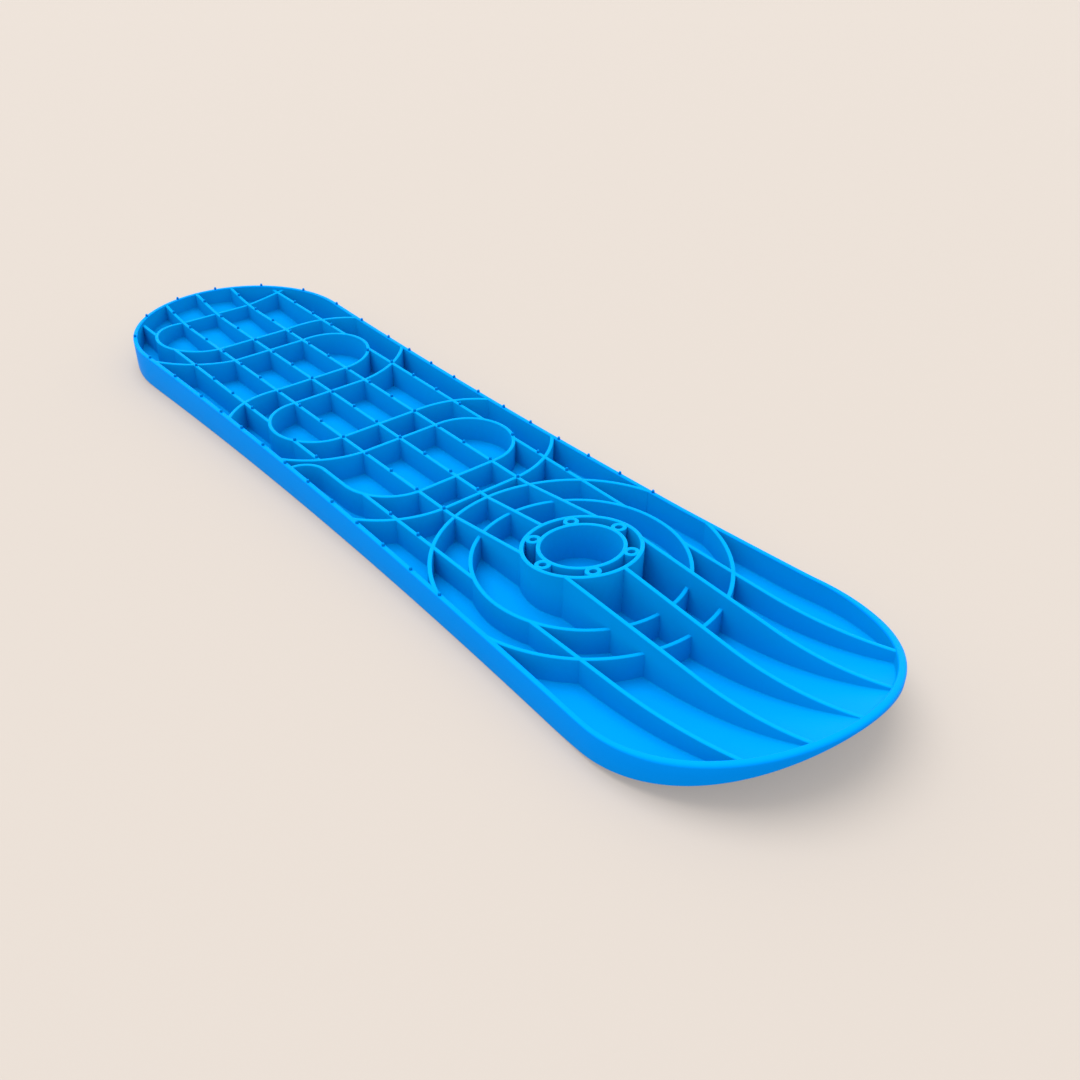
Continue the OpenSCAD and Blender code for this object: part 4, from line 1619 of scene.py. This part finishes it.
@dataclass
class StudioSet:
    """The pale floor, the soft light and the camera."""

    floor_color: tuple[float, float, float] = (0.278, 0.251, 0.228)
    floor_glow: float = 0.967
    floor_half: float = 9.0
    floor_drop: float = 0.0002
    card_grain: float = 700.0
    card_roughness: float = 0.85
    card_spread: float = 0.1
    card_bump: float = 0.15
    card_depth: float = 0.0001
    card_specular: float = 0.1
    clip: tuple[float, float] = (0.02, 60.0)
    frame_px: float = 1080.0
    sensor: float = 36.0
    sky: tuple[float, float, float] = (1.0, 0.99, 0.98)
    sky_strength: float = 1.25
    sun_strength: float = 2.55
    sun_angle: float = 55.0
    sun_turn: float = 188.0
    sun_height: float = 73.0
    sun_distance: float = 3.0
    focal_px: float = 1110.72
    azimuth: float = 49.0145
    elevation: float = 34.7953
    roll: float = -0.9260
    eye: tuple[float, float, float] = (0.461325, -0.439564, 0.481550)

    def camera(self) -> bpy.types.Object:
        """Places the camera where the photograph was taken and makes it the scene's camera.

        Returns:
            The camera.
        """
        data = bpy.data.cameras.new("photo_camera")
        data.sensor_width = self.sensor
        data.lens = self.focal_px / self.frame_px * self.sensor
        data.clip_start, data.clip_end = self.clip
        made = bpy.data.objects.new("photo_camera", data)
        bpy.context.scene.collection.objects.link(made)
        a, e, r = (math.radians(v) for v in (self.azimuth, self.elevation, self.roll))
        forward = Vector((-math.sin(a) * math.cos(e), math.cos(a) * math.cos(e), -math.sin(e)))
        level = Vector((math.cos(a), math.sin(a), 0.0))
        down = forward.cross(level)
        right = level * math.cos(r) + down * math.sin(r)
        low = level * -math.sin(r) + down * math.cos(r)
        axes = Matrix((right, -low, -forward)).transposed()
        made.matrix_world = Matrix.Translation(self.eye) @ axes.to_4x4()
        bpy.context.scene.camera = made
        return made

    def floor(self, groups: dict[str, bpy.types.NodeTree]) -> bpy.types.Object:
        """Lays the floor, a large sheet of pale matt card with a faint tooth.

        Args:
            groups: The shared effect groups, by name.

        Returns:
            The floor.
        """
        bm = bmesh.new()
        bmesh.ops.create_grid(bm, x_segments=1, y_segments=1, size=self.floor_half)
        mesh = bpy.data.meshes.new("studio_floor")
        bm.to_mesh(mesh)
        bm.free()
        made = bpy.data.objects.new("studio_floor", mesh)
        bpy.context.scene.collection.objects.link(made)
        made.location.z = -self.floor_drop
        card = bpy.data.materials.new("pale_card")
        card.use_nodes = True
        kit = NodeKit(card.node_tree)
        kit.tree.nodes.clear()
        tooth = {"Scale": self.card_grain, "Roughness": self.card_roughness, "Spread": self.card_spread}
        grain = kit.effect(groups["moulded_grain"], **tooth)
        normal = kit.bumped(grain["Height"], self.card_bump, self.card_depth)
        surface = {"Roughness": grain["Roughness"], "Normal": normal}
        shader = kit.node("ShaderNodeBsdfPrincipled", surface)
        shader.inputs["Base Color"].default_value = (*self.floor_color, 1.0)
        shader.inputs["Specular IOR Level"].default_value = self.card_specular
        shader.inputs["Emission Color"].default_value = (*self.floor_color, 1.0)
        shader.inputs["Emission Strength"].default_value = self.floor_glow
        kit.node("ShaderNodeOutputMaterial", {"Surface": shader.outputs[0]})
        mesh.materials.append(card)
        return made

    def light(self) -> None:
        """Adds an even pale sky and one broad soft light from behind on the left."""
        world = bpy.data.worlds.new("soft_sky")
        bpy.context.scene.world = world
        world.use_nodes = True
        back = world.node_tree.nodes["Background"]
        back.inputs[0].default_value = (*self.sky, 1.0)
        back.inputs[1].default_value = self.sky_strength
        data = bpy.data.lights.new("broad_light", "SUN")
        data.energy = self.sun_strength
        data.angle = math.radians(self.sun_angle)
        made = bpy.data.objects.new("broad_light", data)
        bpy.context.scene.collection.objects.link(made)
        a, e = math.radians(self.sun_turn), math.radians(self.sun_height)
        away = Vector((math.cos(a) * math.cos(e), math.sin(a) * math.cos(e), math.sin(e)))
        made.rotation_euler = away.to_track_quat("Z", "Y").to_euler()
        made.location = away * self.sun_distance


def main() -> None:
    """Builds the camera, the light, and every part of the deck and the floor."""
    logging.basicConfig(level=logging.INFO, format="%(message)s")
    bpy.context.scene.view_settings.view_transform = "Standard"
    studio = StudioSet()
    studio.camera()
    studio.light()
    groups = {tree.name: tree for tree in (moulded_grain(), flow_tint(), edge_rub(), fine_scratches())}
    studio.floor(groups)
    looks = {name: finish.material(groups) for name, finish in FINISHES.items()}
    slots = {part["node"]: part["material_slot"] for part in frame["record"]["subparts"]}
    form = DeckForm()
    winding = WindingRibs(form)
    ribs = LongRibs(form, winding)
    for assembly in (Sole(form), Rim(form), winding, ribs, HubGroup(form), GripStuds(form, winding)):
        assembly.dress(slots, looks)


if __name__ == "__main__":
    main()
